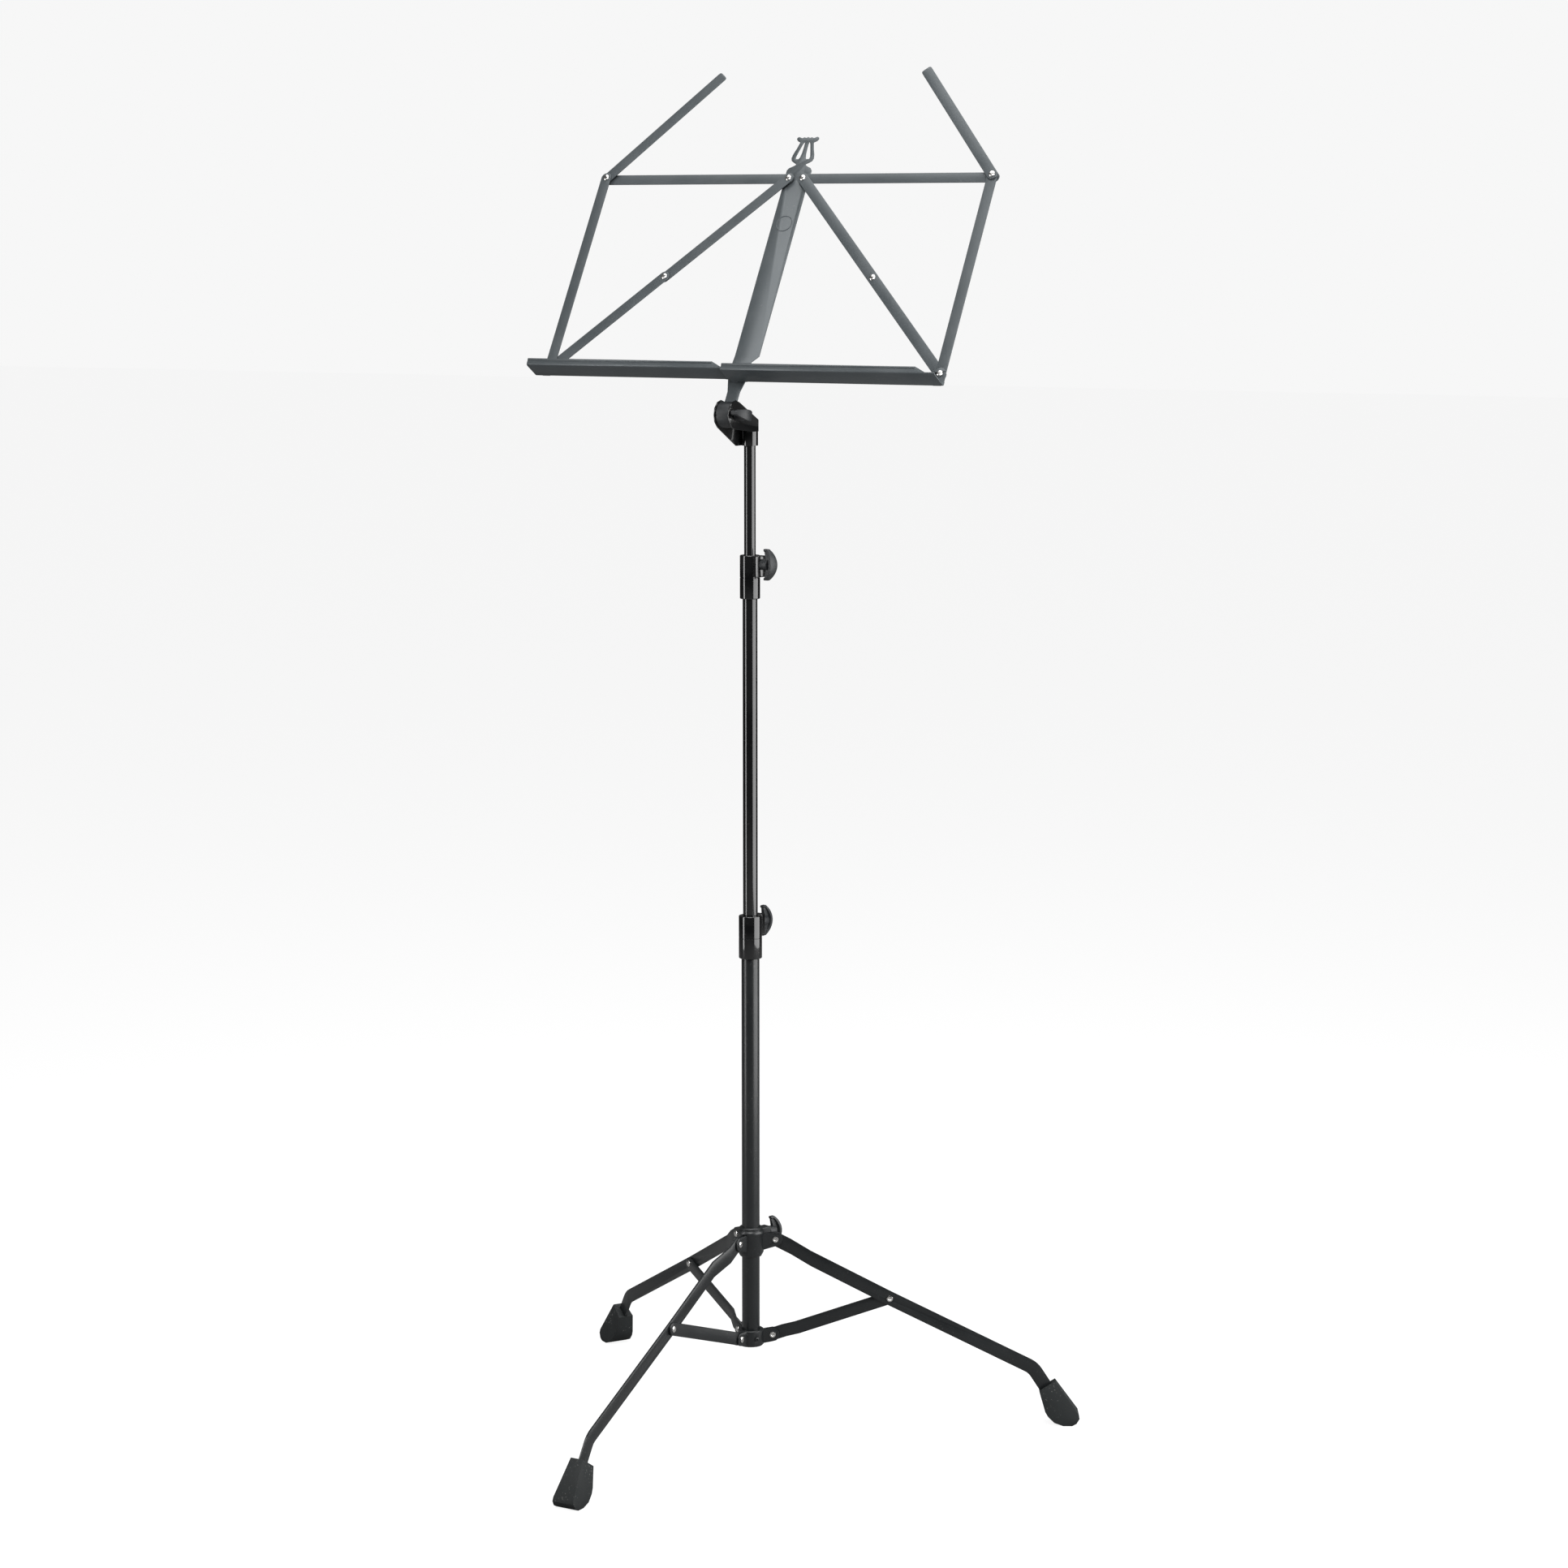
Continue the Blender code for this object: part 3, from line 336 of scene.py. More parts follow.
def activate(obj: bpy.types.Object) -> None:
    """Makes one object the only selected and the active one."""
    deselect()
    bpy.context.view_layer.objects.active = obj
    obj.select_set(True)


def edit(obj: bpy.types.Object, step: Callable[[bmesh.types.BMesh], None]) -> None:
    """Runs one selection or shaping step on an object in edit mode.

    Args:
        obj: the object.
        step: a function that selects or moves parts of the mesh, or calls mesh operators.
    """
    activate(obj)
    bpy.ops.object.mode_set(mode="EDIT")
    work = bmesh.from_edit_mesh(obj.data)
    step(work)
    bpy.ops.object.mode_set(mode="OBJECT")


def pick(obj: bpy.types.Object, work: bmesh.types.BMesh, wanted: Callable[[Vector], bool]) -> None:
    """Selects just the vertices that pass a test.

    Args:
        obj: the object in edit mode.
        work: its edit mesh.
        wanted: tests the place of each vertex.
    """
    bpy.ops.mesh.select_all(action="DESELECT")
    bpy.ops.mesh.select_mode(type="VERT")
    for vert in work.verts:
        vert.select = wanted(vert.co)
    work.select_flush_mode()
    bmesh.update_edit_mesh(obj.data)


def apply_modifier(obj: bpy.types.Object, modifier: bpy.types.Modifier) -> None:
    """Applies one modifier."""
    activate(obj)
    bpy.ops.object.modifier_apply(modifier=modifier.name)


def soften(obj: bpy.types.Object, width: float, segments: int = 2, angle: float = 40.0) -> None:
    """Rounds the sharp edges and shades the piece smooth.

    Args:
        obj: the piece.
        width: bevel width in metres.
        segments: bevel segments.
        angle: edges sharper than this many degrees are rounded.
    """
    bevel = obj.modifiers.new("edges", "BEVEL")
    bevel.width = width
    bevel.segments = segments
    bevel.limit_method = "ANGLE"
    bevel.angle_limit = math.radians(angle)
    apply_modifier(obj, bevel)
    activate(obj)
    bpy.ops.object.shade_smooth_by_angle(angle=math.radians(angle))


def settle(obj: bpy.types.Object, matrix: Optional[Matrix] = None) -> bpy.types.Object:
    """Places a piece and moves its place into its mesh."""
    if matrix is not None:
        obj.matrix_world = matrix @ obj.matrix_world
    activate(obj)
    bpy.ops.object.transform_apply(location=True, rotation=True, scale=True)
    return obj


def join_shape(target: bpy.types.Object, tool: bpy.types.Object, operation: str) -> None:
    """Joins or cuts with another shape, which is used up."""
    modifier = target.modifiers.new("shape", "BOOLEAN")
    modifier.operation = operation
    modifier.object = tool
    modifier.solver = "EXACT"
    apply_modifier(target, modifier)
    bpy.data.objects.remove(tool, do_unlink=True)


def spun(name: str, section: Sequence[tuple[float, float]], steps: int = 64) -> bpy.types.Object:
    """Models a turned piece about Z.

    Args:
        name: the piece's name.
        section: (radius, height) round the closed section.
        steps: steps of the full turn.

    Returns:
        The new object, at the origin.
    """
    deselect()
    bpy.ops.mesh.primitive_circle_add(vertices=len(section), radius=MM, location=(0, 0, 0))
    obj = bpy.context.object
    obj.name = obj.data.name = name

    def step(work: bmesh.types.BMesh) -> None:
        """Lays the ring of points on the section, then turns it round."""
        work.verts.ensure_lookup_table()
        start = work.verts[0]
        ordered, edge = [start], start.link_edges[0]
        while len(ordered) < len(section):
            nxt = edge.other_vert(ordered[-1])
            ordered.append(nxt)
            edge = next(e for e in nxt.link_edges if e is not edge)
        for vert, (radius, height) in zip(ordered, section):
            vert.co = (radius, 0.0, height)
        bmesh.update_edit_mesh(obj.data)
        bpy.ops.mesh.select_all(action="SELECT")
        bpy.ops.mesh.spin(steps=steps, angle=math.tau, center=(0, 0, 0), axis=(0, 0, 1))
        bpy.ops.mesh.select_all(action="SELECT")
        bpy.ops.mesh.remove_doubles(threshold=WELD)
        bpy.ops.mesh.dissolve_degenerate(threshold=WELD / 2)
        bpy.ops.mesh.delete_loose(use_verts=True, use_edges=True, use_faces=False)
        bpy.ops.mesh.select_all(action="SELECT")
        bpy.ops.mesh.normals_make_consistent(inside=False)

    edit(obj, step)
    bpy.ops.object.shade_smooth_by_angle(angle=math.radians(40))
    return obj


def corner(radius: float, height: float, fillet: float, quarter: int) -> list[tuple[float, float]]:
    """Rounded corner of a section.

    Args:
        radius: radius of the sharp corner.
        height: height of the sharp corner.
        fillet: radius of the rounding.
        quarter: 0 is top outer, 1 bottom outer, 2 bottom inner and 3 top inner.

    Returns:
        (radius, height) round the corner.
    """
    steps = 3
    signs = ((-1, -1), (-1, 1), (1, 1), (1, -1))[quarter]
    start = (90, 0, -90, -180)[quarter]
    centre = (radius + signs[0] * fillet, height + signs[1] * fillet)
    angles = [math.radians(start - 90 * i / steps) for i in range(steps + 1)]
    return [(centre[0] + fillet * math.cos(a), centre[1] + fillet * math.sin(a)) for a in angles]


def axis_frame(origin: Vector, axis: Vector, up: Vector = UPRIGHT) -> Matrix:
    """Frame at a point whose Z runs along an axis and whose Y leans towards another direction."""
    z = axis.normalized()
    x = up.cross(z).normalized()
    y = z.cross(x)
    return Matrix.Translation(origin) @ Matrix((x, y, z)).transposed().to_4x4()


def node_points(node: str) -> list[Vector]:
    """Points of a CAD node in the row frame."""
    return [vert.co.copy() for vert in frame["nodes"][node].data.vertices]


def extent(node: str, axis: Vector) -> tuple[float, float]:
    """Lowest and highest reach of a CAD node along a direction."""
    reach = [point.dot(axis) for point in node_points(node)]
    return min(reach), max(reach)


def centre_line(node: str, axis: Vector) -> Vector:
    """The point on a turned CAD node's axis that lies nearest to the row's origin plane along that axis."""
    up = UPRIGHT if abs(axis.z) < 0.9 else SIDEWAYS
    side = axis.cross(up).normalized()
    other = axis.cross(side)
    return sum((direction * sum(extent(node, direction)) / 2 for direction in (side, other)), Vector())


class Workshop:
    """Keeps the finishes and hands each new piece its finish and body, the finish read from its node's material
    slot.
    """

    def __init__(self) -> None:
        """Builds the shader groups and every finish."""
        texture, streaks = coat_texture_group(), streak_group()
        self.materials = {finish: coating.build(f"{finish.value}_finish", texture, streaks)
                          for finish, coating in COATINGS.items()}

    def dress(self, piece: bpy.types.Object, finish: Finish) -> None:
        """Gives a piece one finish."""
        piece.data.materials.clear()
        piece.data.materials.append(self.materials[finish])

    def fit(self, piece: bpy.types.Object, *nodes: str, body: Optional[str] = None,
            finish: Optional[Finish] = None) -> bpy.types.Object:
        """Dresses a piece, mounts it and lets it stand for its CAD nodes.

        Args:
            piece: the finished mesh.
            nodes: the CAD nodes that it stands for.
            body: the body it rides on, unless its first node says it.
            finish: its finish, unless its first node says it.

        Returns:
            The piece.
        """
        body = body or BODY_OF[nodes[0]]
        finish = finish or Finish(SLOT_OF[nodes[0]])
        self.dress(piece, finish)
        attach(piece, body)
        if nodes:
            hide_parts(*nodes)
        LOG.info("%s rides on %s", piece.name, body)
        return piece

    def pressed(self, node: str, edge: float, segments: int = 2) -> bpy.types.Object:
        """Models a pressed or moulded piece from its CAD node and mounts it.

        Args:
            node: the CAD node.
            edge: rounding of its edges.
            segments: bevel segments of that rounding.

        Returns:
            The piece.
        """
        deselect()
        piece = linked(f"{node}_piece", frame["nodes"][node].data.copy())

        def clean(work: bmesh.types.BMesh) -> None:
            """Welds the mesh and dissolves the seams in its flat faces."""
            bpy.ops.mesh.select_all(action="SELECT")
            bpy.ops.mesh.remove_doubles(threshold=WELD)
            bpy.ops.mesh.select_all(action="SELECT")
            bpy.ops.mesh.dissolve_limited(angle_limit=math.radians(0.5))

        edit(piece, clean)
        soften(piece, edge, segments)
        return self.fit(piece, node)


class RivetEnd(Enum):
    """How one end of a rivet looks."""

    DOME = "dome"
    FLAT = "flat"
    HOLLOW = "hollow"
    FLUSH = "flush"


@dataclass
class Rivet:
    """A nickel rivet.

    Args:
        head: radius of the head.
        shank: radius of the shank.
        dome: height of the head.
        tail: height of the closed end.
        eye: radius of the hole in a hollow end.
    """

    head: float = 4.0 * MM
    shank: float = 1.9 * MM
    dome: float = 1.5 * MM
    tail: float = 0.8 * MM
    eye: float = 1.7 * MM

    def end(self, style: RivetEnd, tall: float, wide: float) -> list[tuple[float, float]]:
        """Outline of one end, from its middle to the shank.

        Args:
            style: the look of the end.
            tall: its height.
            wide: its radius.

        Returns:
            (radius, height over the seat) down its outer side.
        """
        if style is RivetEnd.FLUSH:
            return [(0.0, tall), (self.shank, tall)]
        rim = tall * 0.25
        if style is RivetEnd.DOME:
            angles = [math.radians(90 - 90 * i / 7) for i in range(1, 8)]
            crown = [(wide * math.cos(a), rim + (tall - rim) * math.sin(a)) for a in angles]
            return [(0.0, tall), *crown, (wide, 0.0), (self.shank, 0.0)]
        if style is RivetEnd.HOLLOW:
            hole = [(0.0, tall - 2.2 * MM), (self.eye * 0.8, tall - 2.0 * MM),
                    (self.eye * 0.9, tall - 0.4 * MM), (self.eye * 1.15, tall)]
            return [*hole, (wide * 0.72, tall), (wide * 0.93, tall * 0.75), (wide, rim), (wide, 0.0),
                    (self.shank, 0.0)]
        return [(0.0, tall), (wide * 0.75, tall), (wide, tall * 0.6), (wide, 0.0), (self.shank, 0.0)]

    def model(self, name: str, low: float, high: float, front: RivetEnd,
              back: RivetEnd) -> bpy.types.Object:
        """Models the rivet along Z.

        Args:
            name: the piece's name.
            low: its lowest reach.
            high: its highest reach.
            front: the style of its high end.
            back: the style of its low end.

        Returns:
            The rivet, at the origin.
        """
        foot = 0.0 if back is RivetEnd.FLUSH else self.tail
        above = self.end(front, self.dome, self.head)
        section = [(radius, high - self.dome + height) for radius, height in above]
        below = self.end(back, foot, self.head * 0.94)
        section += [(radius, low + foot - height) for radius, height in reversed(below)]
        return spun(name, section, 32)

    def set_in(self, shop: Workshop, node: str, axis: Vector, front: RivetEnd = RivetEnd.DOME,
               back: RivetEnd = RivetEnd.FLAT) -> bpy.types.Object:
        """Models the rivet of a CAD node and mounts it.

        Args:
            shop: the workshop.
            node: the CAD rivet.
            axis: the direction that its front end faces.
            front: the style of that end.
            back: the style of the other end.

        Returns:
            The rivet.
        """
        low, high = extent(node, axis)
        piece = self.model(f"{node}_metal", low, high, front, back)
        settle(piece, axis_frame(centre_line(node, axis), axis, SIDEWAYS))
        return shop.fit(piece, node)


@dataclass
class WingKnob:
    """Half-moon wing knob with a raised rim, a thinner web and a round hub.

    Args:
        half_width: half the wing's width.
        length: from the clamp's face to the crown.
        half_thick: half the crown's thickness in the middle.
        tip: half the crown's thickness at its tips.
        tip_span: lowest and highest reach of a tip.
        root: where the wing starts beside the hub.
        root_half: half the straight part of the root.
        rim: width of the raised rim.
        web: thickness of the web against the rim.
        hub: radius of the hub.
        hub_length: length of the hub.
        bore: radius and depth of the bore.
    """

    half_width: float = 18.9 * MM
    length: float = 18.5 * MM
    half_thick: float = 6.4 * MM
    tip: float = 2.0 * MM
    tip_span: tuple[float, float] = (3.5 * MM, 9.5 * MM)
    root: float = 7.2 * MM
    root_half: float = 5.5 * MM
    rim: float = 3.6 * MM
    web: float = 0.42
    hub: float = 6.7 * MM
    hub_length: float = 11.0 * MM
    bore: tuple[float, float] = (3.3 * MM, 6.4 * MM)

    def lens(self, along: float) -> float:
        """Half thickness of the crown at a place along the wing."""
        bulge = self.half_thick - self.tip
        radius = (self.half_width**2 + bulge**2) / (2 * bulge)
        return self.half_thick - radius + math.sqrt(max(radius**2 - along**2, 0.0))

    def outline(self, depth: float, along: float) -> tuple[float, float, float]:
        """Place on the wing's flat outline.

        Args:
            depth: 0 at the inner edge, 1 at the crown.
            along: from -1 to 1 along the wing.

        Returns:
            Y, Z and the distance to the crown.
        """
        rise = self.length - self.tip_span[1]
        radius = (self.half_width**2 + rise**2) / (2 * rise)
        turn = along * math.asin(self.half_width / radius)
        y = self.half_width * along * (1 - depth) + radius * math.sin(turn) * depth
        crown = self.length - radius + radius * math.cos(turn)
        slope = max(0.0, abs(self.half_width * along) - self.root_half) / (self.half_width - self.root_half)
        inner = self.root + (self.tip_span[0] - self.root) * slope
        return y, inner + (crown - inner) * depth, (crown - inner) * (1 - depth)

    def recess(self, to_crown: float, along: float) -> float:
        """How far a place lies in the web: 0 on the rim, 1 in the web."""
        edge = 0.9 * MM
        from_crown = (to_crown - self.rim) / edge
        from_tip = (self.half_width * (1 - abs(along)) - 0.7 * self.rim) / edge
        return min(max(min(from_crown, from_tip), 0.0), 1.0)

    def model(self, name: str) -> bpy.types.Object:
        """Models the knob along +Z with its wing along Y.

        Returns:
            The knob, at the origin.
        """
        deselect()
        bpy.ops.mesh.primitive_grid_add(x_subdivisions=26, y_subdivisions=64, size=2.0, location=(0, 0, 0))
        wing = bpy.context.object
        wing.name = wing.data.name = name

        def half_moon(work: bmesh.types.BMesh) -> None:
            """Gives the flat grid the wing's outline and its thickness."""
            bpy.ops.mesh.select_all(action="SELECT")
            bpy.ops.mesh.extrude_region_move()
            work = bmesh.from_edit_mesh(wing.data)
            for vert in work.verts:
                side = 1.0 if vert.select else -1.0
                depth, along = (vert.co.x + 1) / 2, vert.co.y
                y, z, to_crown = self.outline(depth, along)
                thick = 1 - (1 - self.web) * self.recess(to_crown, along)
                vert.co = (side * self.lens(y) * thick, y, z)
            bmesh.update_edit_mesh(wing.data)
            bpy.ops.mesh.select_all(action="SELECT")
            bpy.ops.mesh.normals_make_consistent(inside=False)

        edit(wing, half_moon)
        soften(wing, 0.45 * MM, 2, 60)
        face = 0.3 * MM
        section = [(0.0, self.hub_length), *corner(self.hub, self.hub_length, 1.2 * MM, 0),
                   *corner(self.hub, face, 0.5 * MM, 1), (self.bore[0], face), self.bore, (0.0, self.bore[1])]
        join_shape(wing, spun(f"{name}_hub", section, 48), "UNION")
        activate(wing)
        bpy.ops.object.shade_smooth_by_angle(angle=math.radians(35))
        return wing


def tube_piece(name: str, node: str, wall: float, lip: float) -> bpy.types.Object:
    """Models a round tube with rounded ends on a CAD tube.

    Args:
        name: the piece's name.
        node: the CAD tube, upright.
        wall: wall thickness.
        lip: radius of the rounded ends.

    Returns:
        The tube, in place.
    """
    low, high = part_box(node)
    radius = (high.x - low.x) / 2
    inner = radius - wall
    section = [*corner(radius, high.z, lip, 0), *corner(radius, low.z, lip, 1),
               *corner(inner, low.z, lip, 2), *corner(inner, high.z, lip, 3)]
    middle = (low + high) / 2
    return settle(spun(name, section, 72), Matrix.Translation((middle.x, middle.y, 0)))


def block_piece(name: str, low: Vector, high: Vector, edge: float) -> bpy.types.Object:
    """Models a block between two corners with rounded edges."""
    deselect()
    bpy.ops.mesh.primitive_cube_add(size=1.0, location=(low + high) / 2, scale=high - low)
    piece = bpy.context.object
    piece.name = piece.data.name = name
    settle(piece)
    soften(piece, edge, 3, 30)
    return piece


def bar_piece(name: str, start: Vector, end: Vector, normal: Vector, low: float, high: float,
              width: float, squared: bool = False) -> bpy.types.Object:
    """Models a flat bar with a round start.

    Args:
        name: the piece's name.
        start: the middle of one round end.
        end: the middle of the other.
        normal: the direction that the bar faces.
        low: its back face along the normal.
        high: its front face along the normal.
        width: its width.
        squared: whether its far end is nearly square instead of round.

    Returns:
        The bar, in place.
    """
    run = end - start
    run -= normal * run.dot(normal)
    deselect()
    bpy.ops.mesh.primitive_cylinder_add(vertices=48, radius=width / 2, depth=high - low, location=(0, 0, 0))
    bar = bpy.context.object
    bar.name = bar.data.name = name

    def stretch(work: bmesh.types.BMesh) -> None:
        """Moves one half of the disc out along the bar, squaring its end if asked."""
        pick(bar, work, lambda place: place.y > -WELD / 10)
        if squared:
            half = width / 2
            for vert in work.verts:
                if vert.select:
                    x, y = vert.co.x / half, max(vert.co.y / half, 0.0)
                    vert.co.x = math.copysign(abs(x) ** SQUARENESS, x) * half
                    vert.co.y = y**SQUARENESS * half
            bmesh.update_edit_mesh(bar.data)
        bpy.ops.transform.translate(value=(0, run.length, 0))

    def split_ends(work: bmesh.types.BMesh) -> None:
        """Cuts the disc across, so that its two halves can part."""
        bpy.ops.mesh.select_all(action="SELECT")
        bpy.ops.mesh.bisect(plane_co=(0, MM / 2, 0), plane_no=(0, 1, 0))

    edit(bar, split_ends)
    edit(bar, stretch)
    soften(bar, 0.35 * MM, 3, 50)
    origin = start - normal * start.dot(normal) + normal * (low + high) / 2
    return settle(bar, axis_frame(origin, normal, run))


def joint_place(name: str) -> Vector:
    """The place of a joint at rest."""
    return Vector(JOINTS[name]["pos_m"])


def joint_axis(name: str) -> Vector:
    """The unit axis of a joint at rest."""
    return Vector(JOINTS[name]["axis"]).normalized()


# Sub-assemblies


@dataclass
class Column:
    """Three telescoping tubes, two clamp sleeves and their knobs.

    Args:
        shop: the workshop.
        wall: wall of the tubes.
        lip: rounding of the tubes' ends.
        sleeve_radii: outer radius of each sleeve.
        bores: (tube below, tube above) bore radius of each sleeve.
        seat: height of the seat in a sleeve.
        rim: rounding of a sleeve's ends.
        groove: depth of the groove round a sleeve.
        boss_half: half the width and half the height of a sleeve's boss.
    """

    shop: Workshop
    wall: float = 1.2 * MM
    lip: float = 0.35 * MM
    sleeve_radii: tuple[float, float] = (14.25 * MM, 12.25 * MM)
    bores: tuple[tuple[float, float], ...] = ((11.3 * MM, 9.3 * MM), (9.3 * MM, 7.3 * MM))
    seat: float = 25.0 * MM
    rim: float = 1.1 * MM
    groove: float = 0.35 * MM
    boss_half: tuple[float, float] = (7.5 * MM, 13.0 * MM)

    def build(self) -> None:
        """Models and mounts the column."""
        for name in ("lower_tube", "middle_tube", "upper_tube"):
            self.shop.fit(tube_piece(f"{name}_steel", name, self.wall, self.lip), name)
        for index, name in enumerate(("lower", "upper")):
            node = f"{name}_clamp_sleeve"
            self.sleeve(node, self.sleeve_radii[index], self.bores[index], f"{name}_knob_turn")

    def sleeve(self, node: str, radius: float, bores: tuple[float, float], knob_joint: str) -> None:
        """Models one clamp sleeve: a turned body with rolled rims, and a split boss for the screw.

        Args:
            node: the CAD sleeve.
            radius: its outer radius.
            bores: its bore radius at the tube below and at the tube above.
            knob_joint: the joint of its knob.
        """
        low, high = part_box(node)
        wide, narrow = bores
        axis = centre_line("lower_tube", UPRIGHT)
        middle = low.z + self.seat
        groove = radius - self.groove
        section = [*corner(radius, high.z, self.rim, 0), (radius, middle + 1.2 * MM),
                   (groove, middle + 0.9 * MM), (groove, middle + 0.3 * MM), (radius, middle),
                   *corner(radius, low.z, self.rim, 1), *corner(wide, low.z, 0.4 * MM, 2),
                   (wide, middle), (narrow, middle), *corner(narrow, high.z, 0.6 * MM, 3)]
        body = settle(spun(f"{node}_body", section, 72), Matrix.Translation((axis.x, axis.y, 0)))
        out, place = joint_axis(knob_joint), joint_place(knob_joint)
        face = (place - Vector((axis.x, axis.y, place.z))).length
        half, tall = self.boss_half
        turn = Matrix.Rotation(math.atan2(out.y, out.x), 4, "Z")
        stand = Matrix.Translation((axis.x, axis.y, high.z - tall)) @ turn
        boss = block_piece(f"{node}_boss", Vector((radius - 1.5 * MM, -half, -tall)),
                           Vector((face, half, tall)), 1.2 * MM)
        settle(boss, stand)
        join_shape(body, boss, "UNION")
        slit = block_piece(f"{node}_slit", Vector((radius + 1.2 * MM, -0.5 * MM, -tall - MM)),
                           Vector((face - 2.2 * MM, 0.5 * MM, tall + MM)), 0.1 * MM)
        settle(slit, stand)
        join_shape(body, slit, "DIFFERENCE")
        activate(body)
        bpy.ops.object.shade_smooth_by_angle(angle=math.radians(35))
        self.shop.fit(body, node)


@dataclass
class Knobs:
    """The four wing knobs and the steel that they turn on.

    Args:
        shop: the workshop.
        tilt_turn: how far the tilt knob's wing is turned from upright, in degrees.
    """

    shop: Workshop
    tilt_turn: float = 78.0

    def build(self) -> None:
        """Models one knob and mounts a copy of it at each clamp."""
        master = WingKnob().model("wing_knob_master")
        knobs = (("lower_clamp_knob", "lower_knob_turn", 0.0), ("upper_clamp_knob", "upper_knob_turn", 0.0),
                 ("collar_knob", "collar_knob_turn", 0.0), ("tilt_knob", "tilt_knob_turn", self.tilt_turn))
        for node, joint, turn in knobs:
            piece = linked(f"{node}_wing", master.data.copy())
            place = axis_frame(joint_place(joint), joint_axis(joint))
            settle(piece, place @ Matrix.Rotation(math.radians(turn), 4, "Z"))
            self.shop.fit(piece, node)
        bpy.data.objects.remove(master, do_unlink=True)
        for node, joint in (("lower_clamp_screw", "lower"), ("upper_clamp_screw", "upper"),
                            ("collar_screw", "collar")):
            self.screw(node, joint_axis(f"{joint}_knob_turn"))

    def screw(self, node: str, axis: Vector) -> None:
        """Models a clamp screw with rounded thread turns and a dog point."""
        low, high = extent(node, axis)
        radius, depth, pitch = 3.0 * MM, 0.4 * MM, 1.0 * MM
        turns = max(int((high - low - 2 * MM) / pitch), 1)
        thread = []
        for i in range(turns):
            top = high - 0.6 * MM - i * pitch
            thread += [(radius, top), (radius, top - 0.4 * pitch), (radius - depth, top - 0.7 * pitch)]
        section = [(0.0, high), (radius - 0.6 * MM, high), *thread, (radius - MM, low + 0.4 * MM),
                   (radius - 1.4 * MM, low), (0.0, low)]
        piece = spun(f"{node}_steel", section, 32)
        settle(piece, axis_frame(centre_line(node, axis), axis))
        self.shop.fit(piece, node)


@dataclass
class Tripod:
    """Collars, legs, struts, feet and their rivets.

    Args:
        shop: the workshop.
        edge: rounding of the pressed steel's edges.
        foot_edge: rounding of a rubber foot's edges.
        lap: gap between a leg and its strut.
        strut_thick: thickness of a strut.
    """

    shop: Workshop
    edge: float = 0.4 * MM
    foot_edge: float = 0.8 * MM
    lap: float = 0.4 * MM
    strut_thick: float = 2.5 * MM

    def build(self) -> None:
        """Models and mounts the tripod."""
        for node in ("lower_collar", "sliding_collar"):
            self.shop.pressed(node, self.edge)
        for number in LEGS:
            self.shop.pressed(f"leg_{number}", self.edge)
            self.shop.pressed(f"strut_{number}", self.edge)
            self.shop.pressed(f"foot_{number}", self.foot_edge, 3)
            self.rivets(number)
        pin = Rivet(head=2.8 * MM, shank=1.4 * MM, dome=1.1 * MM, eye=1.0 * MM)
        pin.set_in(self.shop, "lower_collar_pin", self.pin_axis(), RivetEnd.HOLLOW, RivetEnd.FLUSH)

    def pin_axis(self) -> Vector:
        """Direction outwards from the column through the collar's pin."""
        low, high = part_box("lower_collar_pin")
        out = (low + high) / 2 - centre_line("lower_tube", UPRIGHT)
        return Vector((out.x, out.y, 0)).normalized()

    def rivets(self, number: int) -> None:
        """Sets the rivets of one leg, and the strut's own head where it crosses the leg."""
        axis = joint_axis(f"leg_hinge_{number}")
        for name in ("leg_rivet", "strut_rivet"):
            Rivet().set_in(self.shop, f"{name}_{number}", axis, RivetEnd.DOME, RivetEnd.HOLLOW)
        cross = f"cross_rivet_{number}"
        Rivet().set_in(self.shop, cross, -axis, RivetEnd.HOLLOW, RivetEnd.FLUSH)
        strut_face = extent(cross, axis)[1] + self.lap + self.strut_thick
        head = Rivet().model(f"strut_cross_head_{number}", strut_face - MM, strut_face + 1.5 * MM,
                             RivetEnd.DOME, RivetEnd.FLUSH)
        settle(head, axis_frame(centre_line(cross, axis), axis, SIDEWAYS))
        self.shop.fit(head, body=f"strut_{number}", finish=Finish.NICKEL)


@dataclass
class TiltJoint:
    """Bracket, drum and bolt under the desk.

    Args:
        shop: the workshop.
    """

    shop: Workshop

    def build(self) -> None:
        """Models and mounts the tilt joint."""
        self.shop.pressed("tilt_bracket", 0.35 * MM)
        self.shop.pressed("tilt_drum", 0.5 * MM, 3)
        axis = SIDEWAYS
        low, high = extent("tilt_bolt", axis)
        radius, head, tall = 3.0 * MM, 6.5 * MM, 2.2 * MM
        section = [(0.0, high), (radius - 0.5 * MM, high), (radius, high - 0.5 * MM), (radius, low + tall),
                   (head, low + tall), (head, low + 1.4 * MM), (head - 0.6 * MM, low + 0.6 * MM),
                   (3.4 * MM, low), (3.0 * MM, low + 0.9 * MM), (0.0, low + 1.0 * MM)]
        bolt = spun("tilt_bolt_steel", section, 48)
        settle(bolt, axis_frame(centre_line("tilt_bolt", axis), axis))
        self.shop.fit(bolt, "tilt_bolt")


